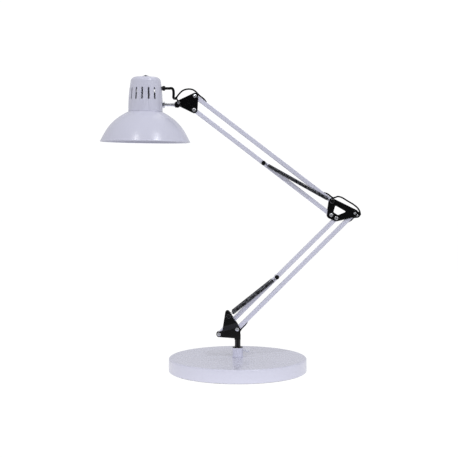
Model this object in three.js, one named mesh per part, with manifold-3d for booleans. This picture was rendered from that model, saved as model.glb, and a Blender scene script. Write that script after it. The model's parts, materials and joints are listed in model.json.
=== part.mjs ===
// Swing arm desk lamp: a weighted round base, a swivel bracket, two sprung parallel arms and a tilting shade.
// Millimetres, +Z up. The origin is the centre of the base's underside, the arms lie in the plane y = 0,
// and the head reaches towards -X. "Near" pieces are on the -Y side, "far" pieces on the +Y side.
import * as THREE from 'three';
import { mergeVertices } from 'three/addons/utils/BufferGeometryUtils.js';
import Module from 'manifold-3d';

const wasm = await Module();
wasm.setup();

// ---------------------------------------------------------------- driving dimensions
const GAP = 0.3; // clearance between pieces that touch on the real lamp

const BASE_RADIUS = 127;
const BASE_HEIGHT = 25;
const BASE_WALL = 1.2;
const BASE_EDGE_RADIUS = 3.5;
const PAD_THICKNESS = 2;
const COVER_LIFT = 0.6; // the cover's edge stays just off the table
const BALLAST_THICKNESS = 7;

const GLAND_RADIUS = 4.2;
const GLAND_BORE = 2.6;
const GLAND_FLANGE = 1.6;
const GLAND_HEIGHT = 9;

const COLLAR_RADIUS = 9.65;
const COLLAR_HEIGHT = 18;
const STUB_RADIUS = 7; // threaded stub of the collar, below the base cover
const STUB_LENGTH = 13.6;
const NUT_HEIGHT = 4;
const THUMBSCREW_DROP = 4.9; // from the collar's top to the thumbscrew's axis
const THUMBSCREW_RADIUS = 2;
const THUMB_KNOB_RADIUS = 4;
const THUMB_KNOB_LENGTH = 7;
const THUMBSCREW_REACH = 14.5; // from the post's axis to the knob
const FLUTE_COUNT = 8;
const FLUTE_RADIUS = 0.6;

const POST_RADIUS = 5.3;
const FLANGE_RADIUS = 9.7;
const FLANGE_THICKNESS = 1.6;
const SLEEVE_LENGTH = 12.6;
const POST_BLOCK_HEIGHT = 11;
const LEAD_BORE_RADIUS = 3.4;

const BAR = 8; // outside of the square tubes
const BAR_WALL = 0.9;
const BAR_CORNER = 1.1;
const RIVET_RADIUS = 2;
const RIVET_HEAD_RADIUS = 3.4;
const RIVET_HEAD_HEIGHT = 1.3;
const PLATE = 1.2; // sheet of the brackets
const PLATE_INNER = BAR / 2 + 0.4; // from the middle plane to a bracket plate's inner face
const PLATE_OUTER = PLATE_INNER + PLATE;

const FRONT_PIVOT_X = -1; // the lower front tube's pivot, almost over the post
const FRONT_PIVOT_RISE = 34; // and its height above the collar
const LOWER_LINK = { length: 34.6, angle: 15.4 }; // rear pivot to front pivot
const LOWER_ARM = { length: 303.1, angle: 44.9 }; // angles are degrees above +X at rest
const UPPER_LINK = { length: 25, angle: 86.5 }; // low pivot to top pivot
const UPPER_ARM = { length: 314.9, angle: 142.6 };
const ELBOW_LOW_OFFSET = new THREE.Vector2(-42.95, -3.05); // elbow front pivot to the upper low tube's pivot

const EAR_OFFSET = new THREE.Vector2(-17.7, 30); // front pivot to the ear's rounded tip
const SPRING_POST_OFFSET = new THREE.Vector2(-15.5, 25.5); // front pivot to the stub that holds the lower spring
const POST_CAP_RADIUS = 3.2;
const EAR_RADIUS = 4.3;
const EAR_STEP = 2.4; // how much further out the ears stand than the bracket's lower part
const FOLD_LOW = 3.9; // folds of the base bracket, above the line of its pivots
const FOLD_HIGH = 12;
const BASE_WAIST = [-23.3, -3, 4]; // rounded corners of a plate: x and z from a pivot, then the radius
const BASE_TOE = [-0.6, -10.4, 6.3];
const BASE_FRONT_CORNER = 6.2;
const BASE_REAR_CORNER = 5;
const ELBOW_CORNERS = { front: 7, top: 5.8, low: 7.6, rear: 5.8, nose: 6.2, tip: 2.6 };
const ELBOW_WINDOW = [[-34.4, 12, 1.5], [-37, 2.6, 1.5], [-29.6, -2, 1.6], [-17.6, 2.6, 1.4]];
const NOSE_TIP = new THREE.Vector2(9.2, -1.6); // from the elbow's front pivot
const CLIP_OFFSET = new THREE.Vector2(4.8, -3.8);
const CLIP_RADIUS = 1;
const CLIP_HEAD_RADIUS = 1.8;
const HEAD_CORNERS = { tilt: 5, low: 6, top: 6 };

const COIL_RADIUS = 3.5;
const SPRING_WIRE = 1.2;
const LOWER_PIN_AT = 150; // from the rear pivot, along the rear tube
const UPPER_PIN_AT = 156; // from the elbow's low pivot, along the low tube
const SPRING_CLEARANCE = 0.6; // a spring's side from the plate or tube beside it
const EYE_INSET = 9; // from a pin's axis to the spring's first turn
const PIN_RADIUS = 1.9;
const CAP_RADIUS = 3.6;
const CAP_LENGTH = 3;

const BOLT_RADIUS = 2.2;
const BOLT_HEAD_RADIUS = 3.5;
const BOLT_END = 1.2; // how far the bare end stands out of the wing nut
const WING_SPAN = 17;
const WING_TIP_RADIUS = 2.4;
const WING_THICKNESS = 1.8;
const WING_BOSS_RADIUS = 3.8;
const WING_BOSS_HEIGHT = 4;
const ELBOW_WING_ANGLE = 100; // degrees above +X, how far round each wing nut has been turned
const TILT_WING_ANGLE = 118;

const TILT_BOLT_OFFSET = new THREE.Vector2(-27.6, 12.4); // head low pivot to the tilt bolt
const HEAD_TILT = 0.8; // degrees, the shade's lean at rest
const STEM_DROP = 3; // from the tilt bolt down to the stem's axis
const STEM_REACH = 61; // from the tilt bolt to the shade's axis
const STEM_RADIUS = 3;
const STEM_HEIGHT = 69; // from the rim up to the stem's axis
const EYE_RADIUS = 5.4;
const HEX_RADIUS = 6.2;

const RIM_RADIUS = 82.5;
const BEAD_RADIUS = 1;
const SPIGOT_HEIGHT = 6; // how far the bowl's collar goes up inside the neck cover
const SHEET = 1; // wall of the shade's two parts
const SEAM_HEIGHT = 55.5; // all heights in the head are measured from the rim
const SEAM_RADIUS = 31.2;
const NECK_TOP = 118.2;
const SHOULDER_RADIUS = 27.6;
const SHOULDER_FILLET = 9;
const NECK_SWELL = 0.6; // how far the neck bulges past the seam's radius, and at what height
const NECK_SWELL_HEIGHT = 81;
const SLOT_COUNT = 16; // pitch of the vents; those on the stem's side are left out
const SLOT_TURN = 3.4; // degrees, how far the row of vents is turned round from even about the stem
const SLOT_WIDTH = 3.3;
const SLOT_LOW = 77;
const SLOT_HIGH = 98.5;

const HOLDER_RADIUS = 20;
const HOLDER_TOP = 95;
const HOLDER_MOUTH = 46;
const HOLDER_DEPTH = 32;
const HOLDER_BORE = 13.9; // clears a 26 mm screw shell
const STRAP_TOP = 112;
const STRAP_WIDTH = 14;
const SWITCH_RADIUS = 8;
const SWITCH_BUSHING = 4.6;
const BEZEL_RADIUS = 6.8;
const BEZEL_HEIGHT = 2.2;
const BUTTON_RADIUS = 3;
const BUTTON_RISE = 3.9;

const RELIEF_HEIGHT = 98.3;
const RELIEF_RADIUS = 4.5;
const RELIEF_LENGTH = 6.4;
const LEAD_HALF_WIDTH = 2.4; // flat twin lead, broad side across the arm
const LEAD_HALF_THICKNESS = 1.6;

// ---------------------------------------------------------------- finishes
const PAINT = { color: 0xd9dae6, roughness: 0.28, metalness: 0.0 };
const BLACK_PAINT = { color: 0x121214, roughness: 0.42, metalness: 0.2 };
const ZINC = { color: 0xb4b8bd, roughness: 0.35, metalness: 0.9 };
const SPRING_STEEL = { color: 0x26272a, roughness: 0.35, metalness: 0.8 };
const BLACK_PLASTIC = { color: 0x161617, roughness: 0.5, metalness: 0.0 };
const WHITE_PLASTIC = { color: 0xdfe0e8, roughness: 0.4, metalness: 0.0 };
const PHENOLIC = { color: 0x1c1a19, roughness: 0.45, metalness: 0.0 };
const BRASS = { color: 0xb89a55, roughness: 0.35, metalness: 0.9 };
const IRON = { color: 0x4a4b4d, roughness: 0.7, metalness: 0.6 };
const FOAM = { color: 0x2a2a2b, roughness: 0.95, metalness: 0.0 };

// ---------------------------------------------------------------- tools for the shapes
const lamp = new THREE.Group();
const head = new THREE.Group();
lamp.add(head);
const radians = THREE.MathUtils.degToRad;
const SIDES = [['near', -1], ['far', 1]];

function piece(name, geometry, finish, parent = lamp) {
  const mesh = new THREE.Mesh(geometry, new THREE.MeshStandardMaterial(finish));
  mesh.name = name;
  parent.add(mesh);
  return mesh;
}

function toSolid(geometry) {
  const bare = geometry.clone();
  bare.deleteAttribute('normal');
  bare.deleteAttribute('uv');
  const merged = mergeVertices(bare, 1e-4);
  return new wasm.Manifold(new wasm.Mesh({
    numProp: 3,
    vertProperties: merged.attributes.position.array,
    triVerts: Uint32Array.from(merged.index.array),
  }));
}

function toGeometry(solid) {
  const mesh = solid.getMesh();
  const geometry = new THREE.BufferGeometry();
  geometry.setAttribute('position', new THREE.BufferAttribute(Float32Array.from(mesh.vertProperties), 3));
  geometry.setIndex(Array.from(mesh.triVerts));
  geometry.computeVertexNormals();
  return geometry;
}

const joined = (...parts) => toGeometry(parts.map(toSolid).reduce((a, b) => a.add(b)));
const cut = (body, ...tools) => toGeometry(tools.map(toSolid).reduce((a, b) => a.subtract(b), toSolid(body)));
const common = (a, b) => toGeometry(toSolid(a).intersect(toSolid(b)));

// A point in the plane y = 0, "length" away at "angle" degrees above +X.
function along(start, length, angle) {
  return new THREE.Vector2(
    start.x + length * Math.cos(radians(angle)),
    start.y + length * Math.sin(radians(angle)),
  );
}

// A turned piece about Z. The profile runs through [radius, height] pairs and is closed.
function turned(profile, segments = 24) {
  const points = profile.map(([radius, height]) => new THREE.Vector2(radius, height));
  if (points[0].x > 0 || points.at(-1).x > 0) points.push(points[0].clone());
  const closed = THREE.ShapeUtils.area(points) < 0 ? points.reverse() : points;
  return new THREE.LatheGeometry(closed, segments).rotateX(Math.PI / 2);
}

// A round bar along Y through (x, z), from y = low to y = high.
function crossBar(radius, at, low, high, segments = 12) {
  return new THREE.CylinderGeometry(radius, radius, high - low, segments)
    .translate(at.x, (low + high) / 2, at.y);
}

// A round bar along Z.
function upright(radius, low, high, segments = 16) {
  return new THREE.CylinderGeometry(radius, radius, high - low, segments)
    .rotateX(Math.PI / 2)
    .translate(0, 0, (low + high) / 2);
}

// A round bar along X at height z.
function levelBar(radius, low, high, z, segments = 16) {
  return new THREE.CylinderGeometry(radius, radius, high - low, segments)
    .rotateZ(Math.PI / 2)
    .translate((low + high) / 2, 0, z);
}

// A flat sheet whose outline lies in the XZ plane, from y = low to y = high.
function sheetPiece(outline, low, high, curveSegments = 3) {
  return new THREE.ExtrudeGeometry(outline, { depth: high - low, bevelEnabled: false, curveSegments })
    .rotateX(Math.PI / 2)
    .translate(0, high, 0);
}

// The outline of a belt pulled tight round circles [x, z, radius], given anticlockwise.
function tautOutline(circles) {
  const edges = circles.map(([x, z, r], i) => {
    const [nx, nz, nr] = circles[(i + 1) % circles.length];
    return Math.atan2(nz - z, nx - x) - Math.acos((r - nr) / Math.hypot(nx - x, nz - z));
  });
  const outline = new THREE.Shape();
  circles.forEach(([x, z, r], i) => {
    const before = edges[(i + edges.length - 1) % edges.length];
    outline.absarc(x, z, r, before, edges[i], false);
  });
  return outline;
}

// A rivet or pin along Y with a low domed head at each end.
function rivet(at, grip, headRadius = RIVET_HEAD_RADIUS, shankRadius = RIVET_RADIUS) {
  const top = grip + GAP;
  const profile = [[0, -top - RIVET_HEAD_HEIGHT], [headRadius * 0.6, -top - RIVET_HEAD_HEIGHT * 0.85],
    [headRadius, -top - RIVET_HEAD_HEIGHT * 0.3], [headRadius, -top], [shankRadius, -top],
    [shankRadius, top], [headRadius, top], [headRadius, top + RIVET_HEAD_HEIGHT * 0.3],
    [headRadius * 0.6, top + RIVET_HEAD_HEIGHT * 0.85], [0, top + RIVET_HEAD_HEIGHT]];
  return turned(profile, 12).rotateX(Math.PI / 2).translate(at.x, 0, at.y);
}

// A spring pin along Y with a round cap at each end.
function cappedPin(at, halfLength) {
  const inner = halfLength - CAP_LENGTH;
  const profile = [[0, -halfLength], [CAP_RADIUS * 0.7, -halfLength], [CAP_RADIUS, -halfLength + 0.9],
    [CAP_RADIUS, -inner], [PIN_RADIUS, -inner], [PIN_RADIUS, inner], [CAP_RADIUS, inner],
    [CAP_RADIUS, halfLength - 0.9], [CAP_RADIUS * 0.7, halfLength], [0, halfLength]];
  return turned(profile, 14).rotateX(Math.PI / 2).translate(at.x, 0, at.y);
}

const hexagon = (radius, thickness) => new THREE.CylinderGeometry(radius, radius, thickness, 6);

// ---------------------------------------------------------------- where the pivots are
const collarTop = BASE_HEIGHT + COLLAR_HEIGHT;
const frontPivot = new THREE.Vector2(FRONT_PIVOT_X, collarTop + FRONT_PIVOT_RISE);
const rearPivot = along(frontPivot, -LOWER_LINK.length, LOWER_LINK.angle);
const elbowFront = along(frontPivot, LOWER_ARM.length, LOWER_ARM.angle);
const elbowRear = along(rearPivot, LOWER_ARM.length, LOWER_ARM.angle);
const elbowLow = elbowFront.clone().add(ELBOW_LOW_OFFSET);
const elbowTop = along(elbowLow, UPPER_LINK.length, UPPER_LINK.angle);
const headLow = along(elbowLow, UPPER_ARM.length, UPPER_ARM.angle);
const headTop = along(elbowTop, UPPER_ARM.length, UPPER_ARM.angle);
const springPost = frontPivot.clone().add(SPRING_POST_OFFSET);
const lowerPin = along(rearPivot, LOWER_PIN_AT, LOWER_ARM.angle);
const upperPin = along(elbowLow, UPPER_PIN_AT, UPPER_ARM.angle);
const tiltBolt = headLow.clone().add(TILT_BOLT_OFFSET);
const postSpringY = PLATE_OUTER + EAR_STEP + COIL_RADIUS + SPRING_CLEARANCE;
const lowerPinSpringY = BAR / 2 + COIL_RADIUS + SPRING_CLEARANCE;
const upperSpringY = PLATE_OUTER + COIL_RADIUS + SPRING_CLEARANCE;
const pinHalf = (springY) => springY + SPRING_WIRE + GAP + CAP_LENGTH; // half the length of a capped pin

// ---------------------------------------------------------------- base
const coverInner = BASE_RADIUS - BASE_WALL;
piece('base_cover', cut(
  turned([
    [STUB_RADIUS + GAP, BASE_HEIGHT],
    [BASE_RADIUS - BASE_EDGE_RADIUS, BASE_HEIGHT],
    [BASE_RADIUS - BASE_EDGE_RADIUS * 0.5, BASE_HEIGHT - BASE_EDGE_RADIUS * 0.134],
    [BASE_RADIUS - BASE_EDGE_RADIUS * 0.134, BASE_HEIGHT - BASE_EDGE_RADIUS * 0.5],
    [BASE_RADIUS, BASE_HEIGHT - BASE_EDGE_RADIUS],
    [BASE_RADIUS, COVER_LIFT],
    [coverInner, COVER_LIFT],
    [coverInner, BASE_HEIGHT - BASE_EDGE_RADIUS],
    [BASE_RADIUS - BASE_EDGE_RADIUS, BASE_HEIGHT - BASE_WALL],
    [STUB_RADIUS + GAP, BASE_HEIGHT - BASE_WALL],
  ], 56),
  crossBar(GLAND_RADIUS + GAP, new THREE.Vector2(0, GLAND_HEIGHT), coverInner - 6, BASE_RADIUS + 4),
), PAINT);

const ballastTop = BASE_HEIGHT - BASE_WALL - GAP;
const ballastLow = ballastTop - BALLAST_THICKNESS;
const ballastRadius = coverInner - 3;
piece('base_ballast', turned([
  [STUB_RADIUS + GAP, ballastLow], [ballastRadius, ballastLow],
  [ballastRadius, ballastTop], [STUB_RADIUS + GAP, ballastTop],
], 40), IRON);

piece('base_pad', turned([
  [0, 0], [coverInner - GAP, 0], [coverInner - GAP, PAD_THICKNESS], [0, PAD_THICKNESS],
], 48), FOAM);

// The gland is a flanged bush in the cover's side wall, bored for the lead.
piece('cord_gland', turned([
  [GLAND_BORE, coverInner - 8], [GLAND_RADIUS, coverInner - 8], [GLAND_RADIUS, BASE_RADIUS + GAP],
  [GLAND_RADIUS + 1.4, BASE_RADIUS + GAP], [GLAND_RADIUS + 1.2, BASE_RADIUS + GAP + GLAND_FLANGE],
  [GLAND_BORE, BASE_RADIUS + GAP + GLAND_FLANGE],
], 24).rotateX(-Math.PI / 2).translate(0, 0, GLAND_HEIGHT), BLACK_PLASTIC);

// ---------------------------------------------------------------- collar and thumbscrew
const stubLow = BASE_HEIGHT - STUB_LENGTH;
const shaftLow = BASE_HEIGHT - 2;
const thumbHeight = collarTop - THUMBSCREW_DROP;
piece('collar', cut(
  turned([
    [LEAD_BORE_RADIUS, stubLow], [STUB_RADIUS, stubLow], [STUB_RADIUS, BASE_HEIGHT + GAP],
    [COLLAR_RADIUS, BASE_HEIGHT + GAP], [COLLAR_RADIUS, collarTop - 0.8],
    [COLLAR_RADIUS - 0.8, collarTop], [POST_RADIUS + GAP, collarTop],
    [POST_RADIUS + GAP, shaftLow - GAP], [LEAD_BORE_RADIUS, shaftLow - GAP],
  ], 28),
  levelBar(THUMBSCREW_RADIUS + GAP, POST_RADIUS - 1, COLLAR_RADIUS + 2, thumbHeight),
), PAINT);

piece('collar_nut', cut(
  hexagon(STUB_RADIUS + 5, NUT_HEIGHT).rotateX(Math.PI / 2)
    .translate(0, 0, ballastLow - GAP - NUT_HEIGHT / 2),
  upright(STUB_RADIUS + GAP, stubLow - 1, ballastLow + 1, 28),
), ZINC);

// The knob's grip is scalloped: eight flutes along the thumbscrew's axis.
const knobStart = THUMBSCREW_REACH;
const knobEnd = THUMBSCREW_REACH + THUMB_KNOB_LENGTH;
const flutes = Array.from({ length: FLUTE_COUNT }, (_, i) => {
  const turn = (i / FLUTE_COUNT) * 2 * Math.PI;
  return levelBar(FLUTE_RADIUS, knobStart - 1, knobEnd + 1, 0, 8)
    .translate(0, THUMB_KNOB_RADIUS * Math.sin(turn), THUMB_KNOB_RADIUS * Math.cos(turn));
});
const thumbscrew = joined(
  levelBar(THUMBSCREW_RADIUS, POST_RADIUS + GAP, knobStart + 1, 0),
  cut(levelBar(THUMB_KNOB_RADIUS, knobStart, knobEnd, 0, 24), ...flutes),
);
piece('thumbscrew', thumbscrew.translate(0, 0, thumbHeight), WHITE_PLASTIC);

// ---------------------------------------------------------------- swivel post and base bracket
const flangeLow = collarTop + GAP;
const sleeveLow = flangeLow + FLANGE_THICKNESS;
const sleeveTop = sleeveLow + SLEEVE_LENGTH;
const blockTop = sleeveTop + POST_BLOCK_HEIGHT;
const blockHalf = PLATE_INNER - GAP;
const blockCorner = 1.5;
const blockRows = [sleeveTop + blockCorner, blockTop - blockCorner];
const blockOutline = tautOutline([
  [-POST_RADIUS + 0.8, blockRows[0], blockCorner], [POST_RADIUS - 1.3, blockRows[0], blockCorner],
  [POST_RADIUS - 1.3, blockRows[1], blockCorner], [-POST_RADIUS + 0.8, blockRows[1], blockCorner],
]);
piece('swivel_post', cut(
  joined(
    turned([
      [0, shaftLow], [POST_RADIUS, shaftLow], [POST_RADIUS, flangeLow], [FLANGE_RADIUS, flangeLow],
      [FLANGE_RADIUS, flangeLow + 0.7], [POST_RADIUS + 1.4, sleeveLow], [POST_RADIUS, sleeveLow + 0.4],
      [POST_RADIUS, sleeveTop + 1.5], [0, sleeveTop + 1.5],
    ], 32),
    sheetPiece(blockOutline, -blockHalf, blockHalf),
  ),
  upright(LEAD_BORE_RADIUS, shaftLow - 1, blockTop + 1),
  levelBar(LEAD_HALF_WIDTH + GAP, 0, POST_RADIUS + 2, blockTop),
), BLACK_PAINT);

// One plate of the base bracket: the lower part hugs the tubes, the ear stands further out past two folds,
// and the ear carries a capped stub for its spring. Nothing crosses between the ears, so the arm can pass.
function baseBracketPlate(side) {
  const ear = [EAR_OFFSET.x, EAR_OFFSET.y, EAR_RADIUS];
  const front = [0, 0, BASE_FRONT_CORNER];
  const rear = [rearPivot.x - frontPivot.x, rearPivot.y - frontPivot.y, BASE_REAR_CORNER];
  const reach = PLATE_OUTER + EAR_STEP + 1;
  const outline = joined(
    sheetPiece(tautOutline([ear, BASE_WAIST, BASE_TOE, front]), -reach, reach),
    sheetPiece(tautOutline([front, rear, BASE_TOE]), -reach, reach),
  );
  const fold = new THREE.Shape();
  const inner = (height) => (height <= FOLD_LOW ? PLATE_INNER : PLATE_INNER + EAR_STEP);
  const heights = [-LOWER_LINK.length, FOLD_LOW, FOLD_HIGH, EAR_OFFSET.length() + EAR_RADIUS];
  heights.forEach((h, i) => (i ? fold.lineTo(h, side * inner(h)) : fold.moveTo(h, side * inner(h))));
  heights.reverse().forEach((h) => fold.lineTo(h, side * (inner(h) + PLATE)));
  const width = 2 * LOWER_LINK.length;
  const basis = new THREE.Matrix4().makeBasis(
    new THREE.Vector3(-Math.sin(radians(LOWER_LINK.angle)), 0, Math.cos(radians(LOWER_LINK.angle))),
    new THREE.Vector3(0, 1, 0),
    new THREE.Vector3(-Math.cos(radians(LOWER_LINK.angle)), 0, -Math.sin(radians(LOWER_LINK.angle))),
  );
  const folded = new THREE.ExtrudeGeometry(fold, { depth: width, bevelEnabled: false })
    .translate(0, 0, -width / 3)
    .applyMatrix4(basis);
  const pivotHoles = [[0, 0], [rear[0], rear[1]]].map(([x, z]) => (
    crossBar(RIVET_RADIUS + GAP, new THREE.Vector2(x, z), -reach, reach)
  ));
  const earFace = PLATE_OUTER + EAR_STEP;
  const stubEnd = pinHalf(postSpringY);
  const stub = turned([
    [0, earFace - PLATE / 2], [PIN_RADIUS, earFace - PLATE / 2], [PIN_RADIUS, stubEnd - CAP_LENGTH],
    [POST_CAP_RADIUS, stubEnd - CAP_LENGTH], [POST_CAP_RADIUS, stubEnd - 0.9], [POST_CAP_RADIUS * 0.7, stubEnd],
    [0, stubEnd],
  ], 14).rotateX(-side * Math.PI / 2).translate(SPRING_POST_OFFSET.x, 0, SPRING_POST_OFFSET.y);
  return joined(cut(common(outline, folded), ...pivotHoles), stub).translate(frontPivot.x, 0, frontPivot.y);
}
for (const [word, side] of SIDES) piece(`base_bracket_${word}`, baseBracketPlate(side), BLACK_PAINT);

piece('base_front_rivet', rivet(frontPivot, PLATE_OUTER), ZINC);
piece('base_rear_rivet', rivet(rearPivot, PLATE_OUTER), ZINC);

// ---------------------------------------------------------------- square tubes
// A tube between two pivots: rounded ends, a cross hole at each [position, radius], and at each lead opening
// [from, to, face] the wall is cut away on that face of the tube.
function tube(start, arm, holes, openings = []) {
  const half = BAR / 2;
  const square = (size, corner, Kind) => {
    const ring = new Kind();
    const inset = size - corner;
    ring.absarc(inset, inset, corner, 0, Math.PI / 2, false);
    ring.absarc(-inset, inset, corner, Math.PI / 2, Math.PI, false);
    ring.absarc(-inset, -inset, corner, Math.PI, Math.PI * 1.5, false);
    ring.absarc(inset, -inset, corner, Math.PI * 1.5, Math.PI * 2, false);
    return ring;
  };
  const section = square(half, BAR_CORNER, THREE.Shape);
  section.holes.push(square(half - BAR_WALL, BAR_CORNER * 0.4, THREE.Path));
  const stock = new THREE.ExtrudeGeometry(section, {
    depth: arm.length + BAR, bevelEnabled: false, curveSegments: 1,
  }).rotateY(Math.PI / 2).translate(-half, 0, 0);
  const rounded = sheetPiece(tautOutline([[0, 0, half], [arm.length, 0, half]]), -half - 1, half + 1);
  const crossHoles = holes.map(([at, radius]) => (
    crossBar(radius + GAP, new THREE.Vector2(at, 0), -half - 1, half + 1)
  ));
  const slots = openings.map(([from, to, face]) => (
    new THREE.BoxGeometry(to - from, 2 * (LEAD_HALF_WIDTH + GAP), half)
      .translate((from + to) / 2, 0, face * (half - BAR_WALL / 2 + half / 2 - 0.5))
  ));
  return cut(common(stock, rounded), ...crossHoles, ...slots)
    .rotateY(-radians(arm.angle))
    .translate(start.x, 0, start.y);
}

const lowerHoles = [[0, RIVET_RADIUS], [LOWER_ARM.length, RIVET_RADIUS]];
const upperHoles = [[0, RIVET_RADIUS], [UPPER_ARM.length, RIVET_RADIUS]];
const slotStart = 4.5; // the lead's slots start this far from a pivot
const slotEnd = 30;
const lowerSlots = [[-BAR / 2, slotEnd, -1], [LOWER_ARM.length - slotEnd, LOWER_ARM.length - slotStart, -1]];
const upperSlots = [[slotStart, slotEnd, -1], [UPPER_ARM.length - slotEnd, UPPER_ARM.length - slotStart, -1]];
piece('lower_front_tube', tube(frontPivot, LOWER_ARM,
  [[0, RIVET_RADIUS], [LOWER_ARM.length, BOLT_RADIUS]], lowerSlots), PAINT);
piece('lower_rear_tube', tube(rearPivot, LOWER_ARM, [...lowerHoles, [LOWER_PIN_AT, PIN_RADIUS]]), PAINT);
piece('upper_top_tube', tube(elbowTop, UPPER_ARM,
  [[0, PIN_RADIUS], [UPPER_ARM.length, RIVET_RADIUS]], upperSlots), PAINT);
piece('upper_low_tube', tube(elbowLow, UPPER_ARM, [...upperHoles, [UPPER_PIN_AT, PIN_RADIUS]]), PAINT);

piece('lower_spring_pin', cappedPin(lowerPin, pinHalf(lowerPinSpringY)), BLACK_PLASTIC);
piece('upper_spring_pin', cappedPin(upperPin, pinHalf(upperSpringY)), BLACK_PLASTIC);

// ---------------------------------------------------------------- springs
// Each spring is a plain round body with an eye at its fixed end, and a separate hook at the end that the
// arm carries. The eye and the hook go round their pins.
const eyeRadius = PIN_RADIUS + GAP + SPRING_WIRE / 2 + 0.8;
function springPieces(name, from, to, yFrom, yTo) {
  const start = new THREE.Vector3(from.x, yFrom, from.y);
  const end = new THREE.Vector3(to.x, yTo, to.y);
  const axis = end.clone().sub(start).normalize();
  const pointAt = (origin, distance) => origin.clone().addScaledVector(axis, distance);
  const rod = (a, b, radius, segments) => {
    const turn = new THREE.Quaternion().setFromUnitVectors(new THREE.Vector3(0, 1, 0), axis);
    const middle = a.clone().add(b).multiplyScalar(0.5);
    return new THREE.CylinderGeometry(radius, radius, a.distanceTo(b), segments)
      .applyQuaternion(turn)
      .translate(middle.x, middle.y, middle.z);
  };
  const eye = (centre) => new THREE.TorusGeometry(eyeRadius, SPRING_WIRE / 2, 5, 12)
    .rotateX(Math.PI / 2)
    .translate(centre.x, centre.y, centre.z);
  const coilStart = pointAt(start, EYE_INSET);
  const coilEnd = pointAt(end, -EYE_INSET);
  const shank = SPRING_WIRE / 2;
  piece(`${name}_coil`, joined(
    eye(start),
    rod(pointAt(start, eyeRadius), pointAt(coilStart, 1), shank, 6),
    rod(coilStart, coilEnd, COIL_RADIUS, 16),
  ), SPRING_STEEL);
  piece(`${name}_hook`, joined(
    eye(end),
    rod(pointAt(coilEnd, GAP), pointAt(end, -eyeRadius), shank, 6),
  ), SPRING_STEEL);
}
for (const [word, side] of SIDES) {
  springPieces(`lower_spring_${word}`, springPost, lowerPin, side * postSpringY, side * lowerPinSpringY);
  springPieces(`upper_spring_${word}`, elbowTop, upperPin, side * upperSpringY, side * upperSpringY);
}

// ---------------------------------------------------------------- elbow bracket
function elbowPlate(side) {
  const local = (point) => point.clone().sub(elbowFront);
  const top = local(elbowTop);
  const low = local(elbowLow);
  const rear = local(elbowRear);
  const outline = tautOutline([
    [0, 0, ELBOW_CORNERS.front], [top.x, top.y, ELBOW_CORNERS.top],
    [low.x, low.y, ELBOW_CORNERS.low], [rear.x, rear.y, ELBOW_CORNERS.rear],
  ]);
  const nose = tautOutline([
    [0, 0, ELBOW_CORNERS.nose], [CLIP_OFFSET.x, CLIP_OFFSET.y, ELBOW_CORNERS.tip],
    [NOSE_TIP.x, NOSE_TIP.y, ELBOW_CORNERS.tip],
  ]);
  const [inner, outer] = side < 0 ? [-PLATE_OUTER, -PLATE_INNER] : [PLATE_INNER, PLATE_OUTER];
  const hole = (at, radius) => crossBar(radius + GAP, at, inner - 1, outer + 1);
  return cut(
    joined(sheetPiece(outline, inner, outer), sheetPiece(nose, inner, outer)),
    sheetPiece(tautOutline(ELBOW_WINDOW), inner - 1, outer + 1),
    hole(new THREE.Vector2(), BOLT_RADIUS),
    hole(top, PIN_RADIUS), hole(low, RIVET_RADIUS), hole(rear, RIVET_RADIUS),
    hole(CLIP_OFFSET, CLIP_RADIUS),
  ).translate(elbowFront.x, 0, elbowFront.y);
}
for (const [word, side] of SIDES) piece(`elbow_plate_${word}`, elbowPlate(side), BLACK_PAINT);
piece('elbow_rear_rivet', rivet(elbowRear, PLATE_OUTER), ZINC);
piece('elbow_low_rivet', rivet(elbowLow, PLATE_OUTER), ZINC);
piece('elbow_top_pin', cappedPin(elbowTop, pinHalf(upperSpringY)), BLACK_PAINT);
piece('cable_clip_rivet', rivet(
  elbowFront.clone().add(CLIP_OFFSET), PLATE_OUTER, CLIP_HEAD_RADIUS, CLIP_RADIUS,
), ZINC);

// A clamping bolt along Y: domed head on the far side, bare end through the wing nut on the near side.
const wingFace = -PLATE_OUTER - GAP; // the wing nut bears on the near plate
function clampBolt(at) {
  const seat = PLATE_OUTER + GAP;
  const tip = wingFace - WING_BOSS_HEIGHT - BOLT_END;
  const profile = [[0, tip], [BOLT_RADIUS - 0.5, tip], [BOLT_RADIUS, tip + 0.5], [BOLT_RADIUS, seat],
    [BOLT_HEAD_RADIUS, seat], [BOLT_HEAD_RADIUS - 0.3, seat + 1.4], [BOLT_HEAD_RADIUS / 2, seat + 2.4],
    [0, seat + 2.6]];
  return turned(profile, 24).rotateX(-Math.PI / 2).translate(at.x, 0, at.y);
}

// A wing nut on the near end of a clamping bolt; its wings lie at "angle" degrees above +X.
function wingNut(at, angle) {
  const axis = new THREE.Vector2();
  const boss = crossBar(WING_BOSS_RADIUS, axis, wingFace - WING_BOSS_HEIGHT, wingFace, 18);
  const wing = new THREE.Shape();
  const tipX = WING_SPAN / 2 - WING_TIP_RADIUS;
  const tipHeight = WING_BOSS_HEIGHT + 0.6;
  wing.moveTo(1, 0.6);
  wing.lineTo(tipX - 0.6, tipHeight - WING_TIP_RADIUS + 0.2);
  wing.absarc(tipX, tipHeight, WING_TIP_RADIUS, -Math.PI / 2, Math.PI * 0.75, false);
  wing.lineTo(1, WING_BOSS_HEIGHT - 0.4);
  const wings = [1, -1].map((side) => (
    new THREE.ExtrudeGeometry(wing, { depth: WING_THICKNESS, bevelEnabled: false, curveSegments: 6 })
      .translate(0, 0, -WING_THICKNESS / 2)
      .applyMatrix4(new THREE.Matrix4().makeBasis(
        new THREE.Vector3(side, 0, 0), new THREE.Vector3(0, -1, 0), new THREE.Vector3(0, 0, -side),
      ))
      .translate(0, wingFace, 0)
  ));
  return cut(
    joined(boss, ...wings),
    crossBar(BOLT_RADIUS + GAP, axis, wingFace - WING_SPAN, wingFace + 1),
  ).rotateY(-radians(angle)).translate(at.x, 0, at.y);
}
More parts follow.
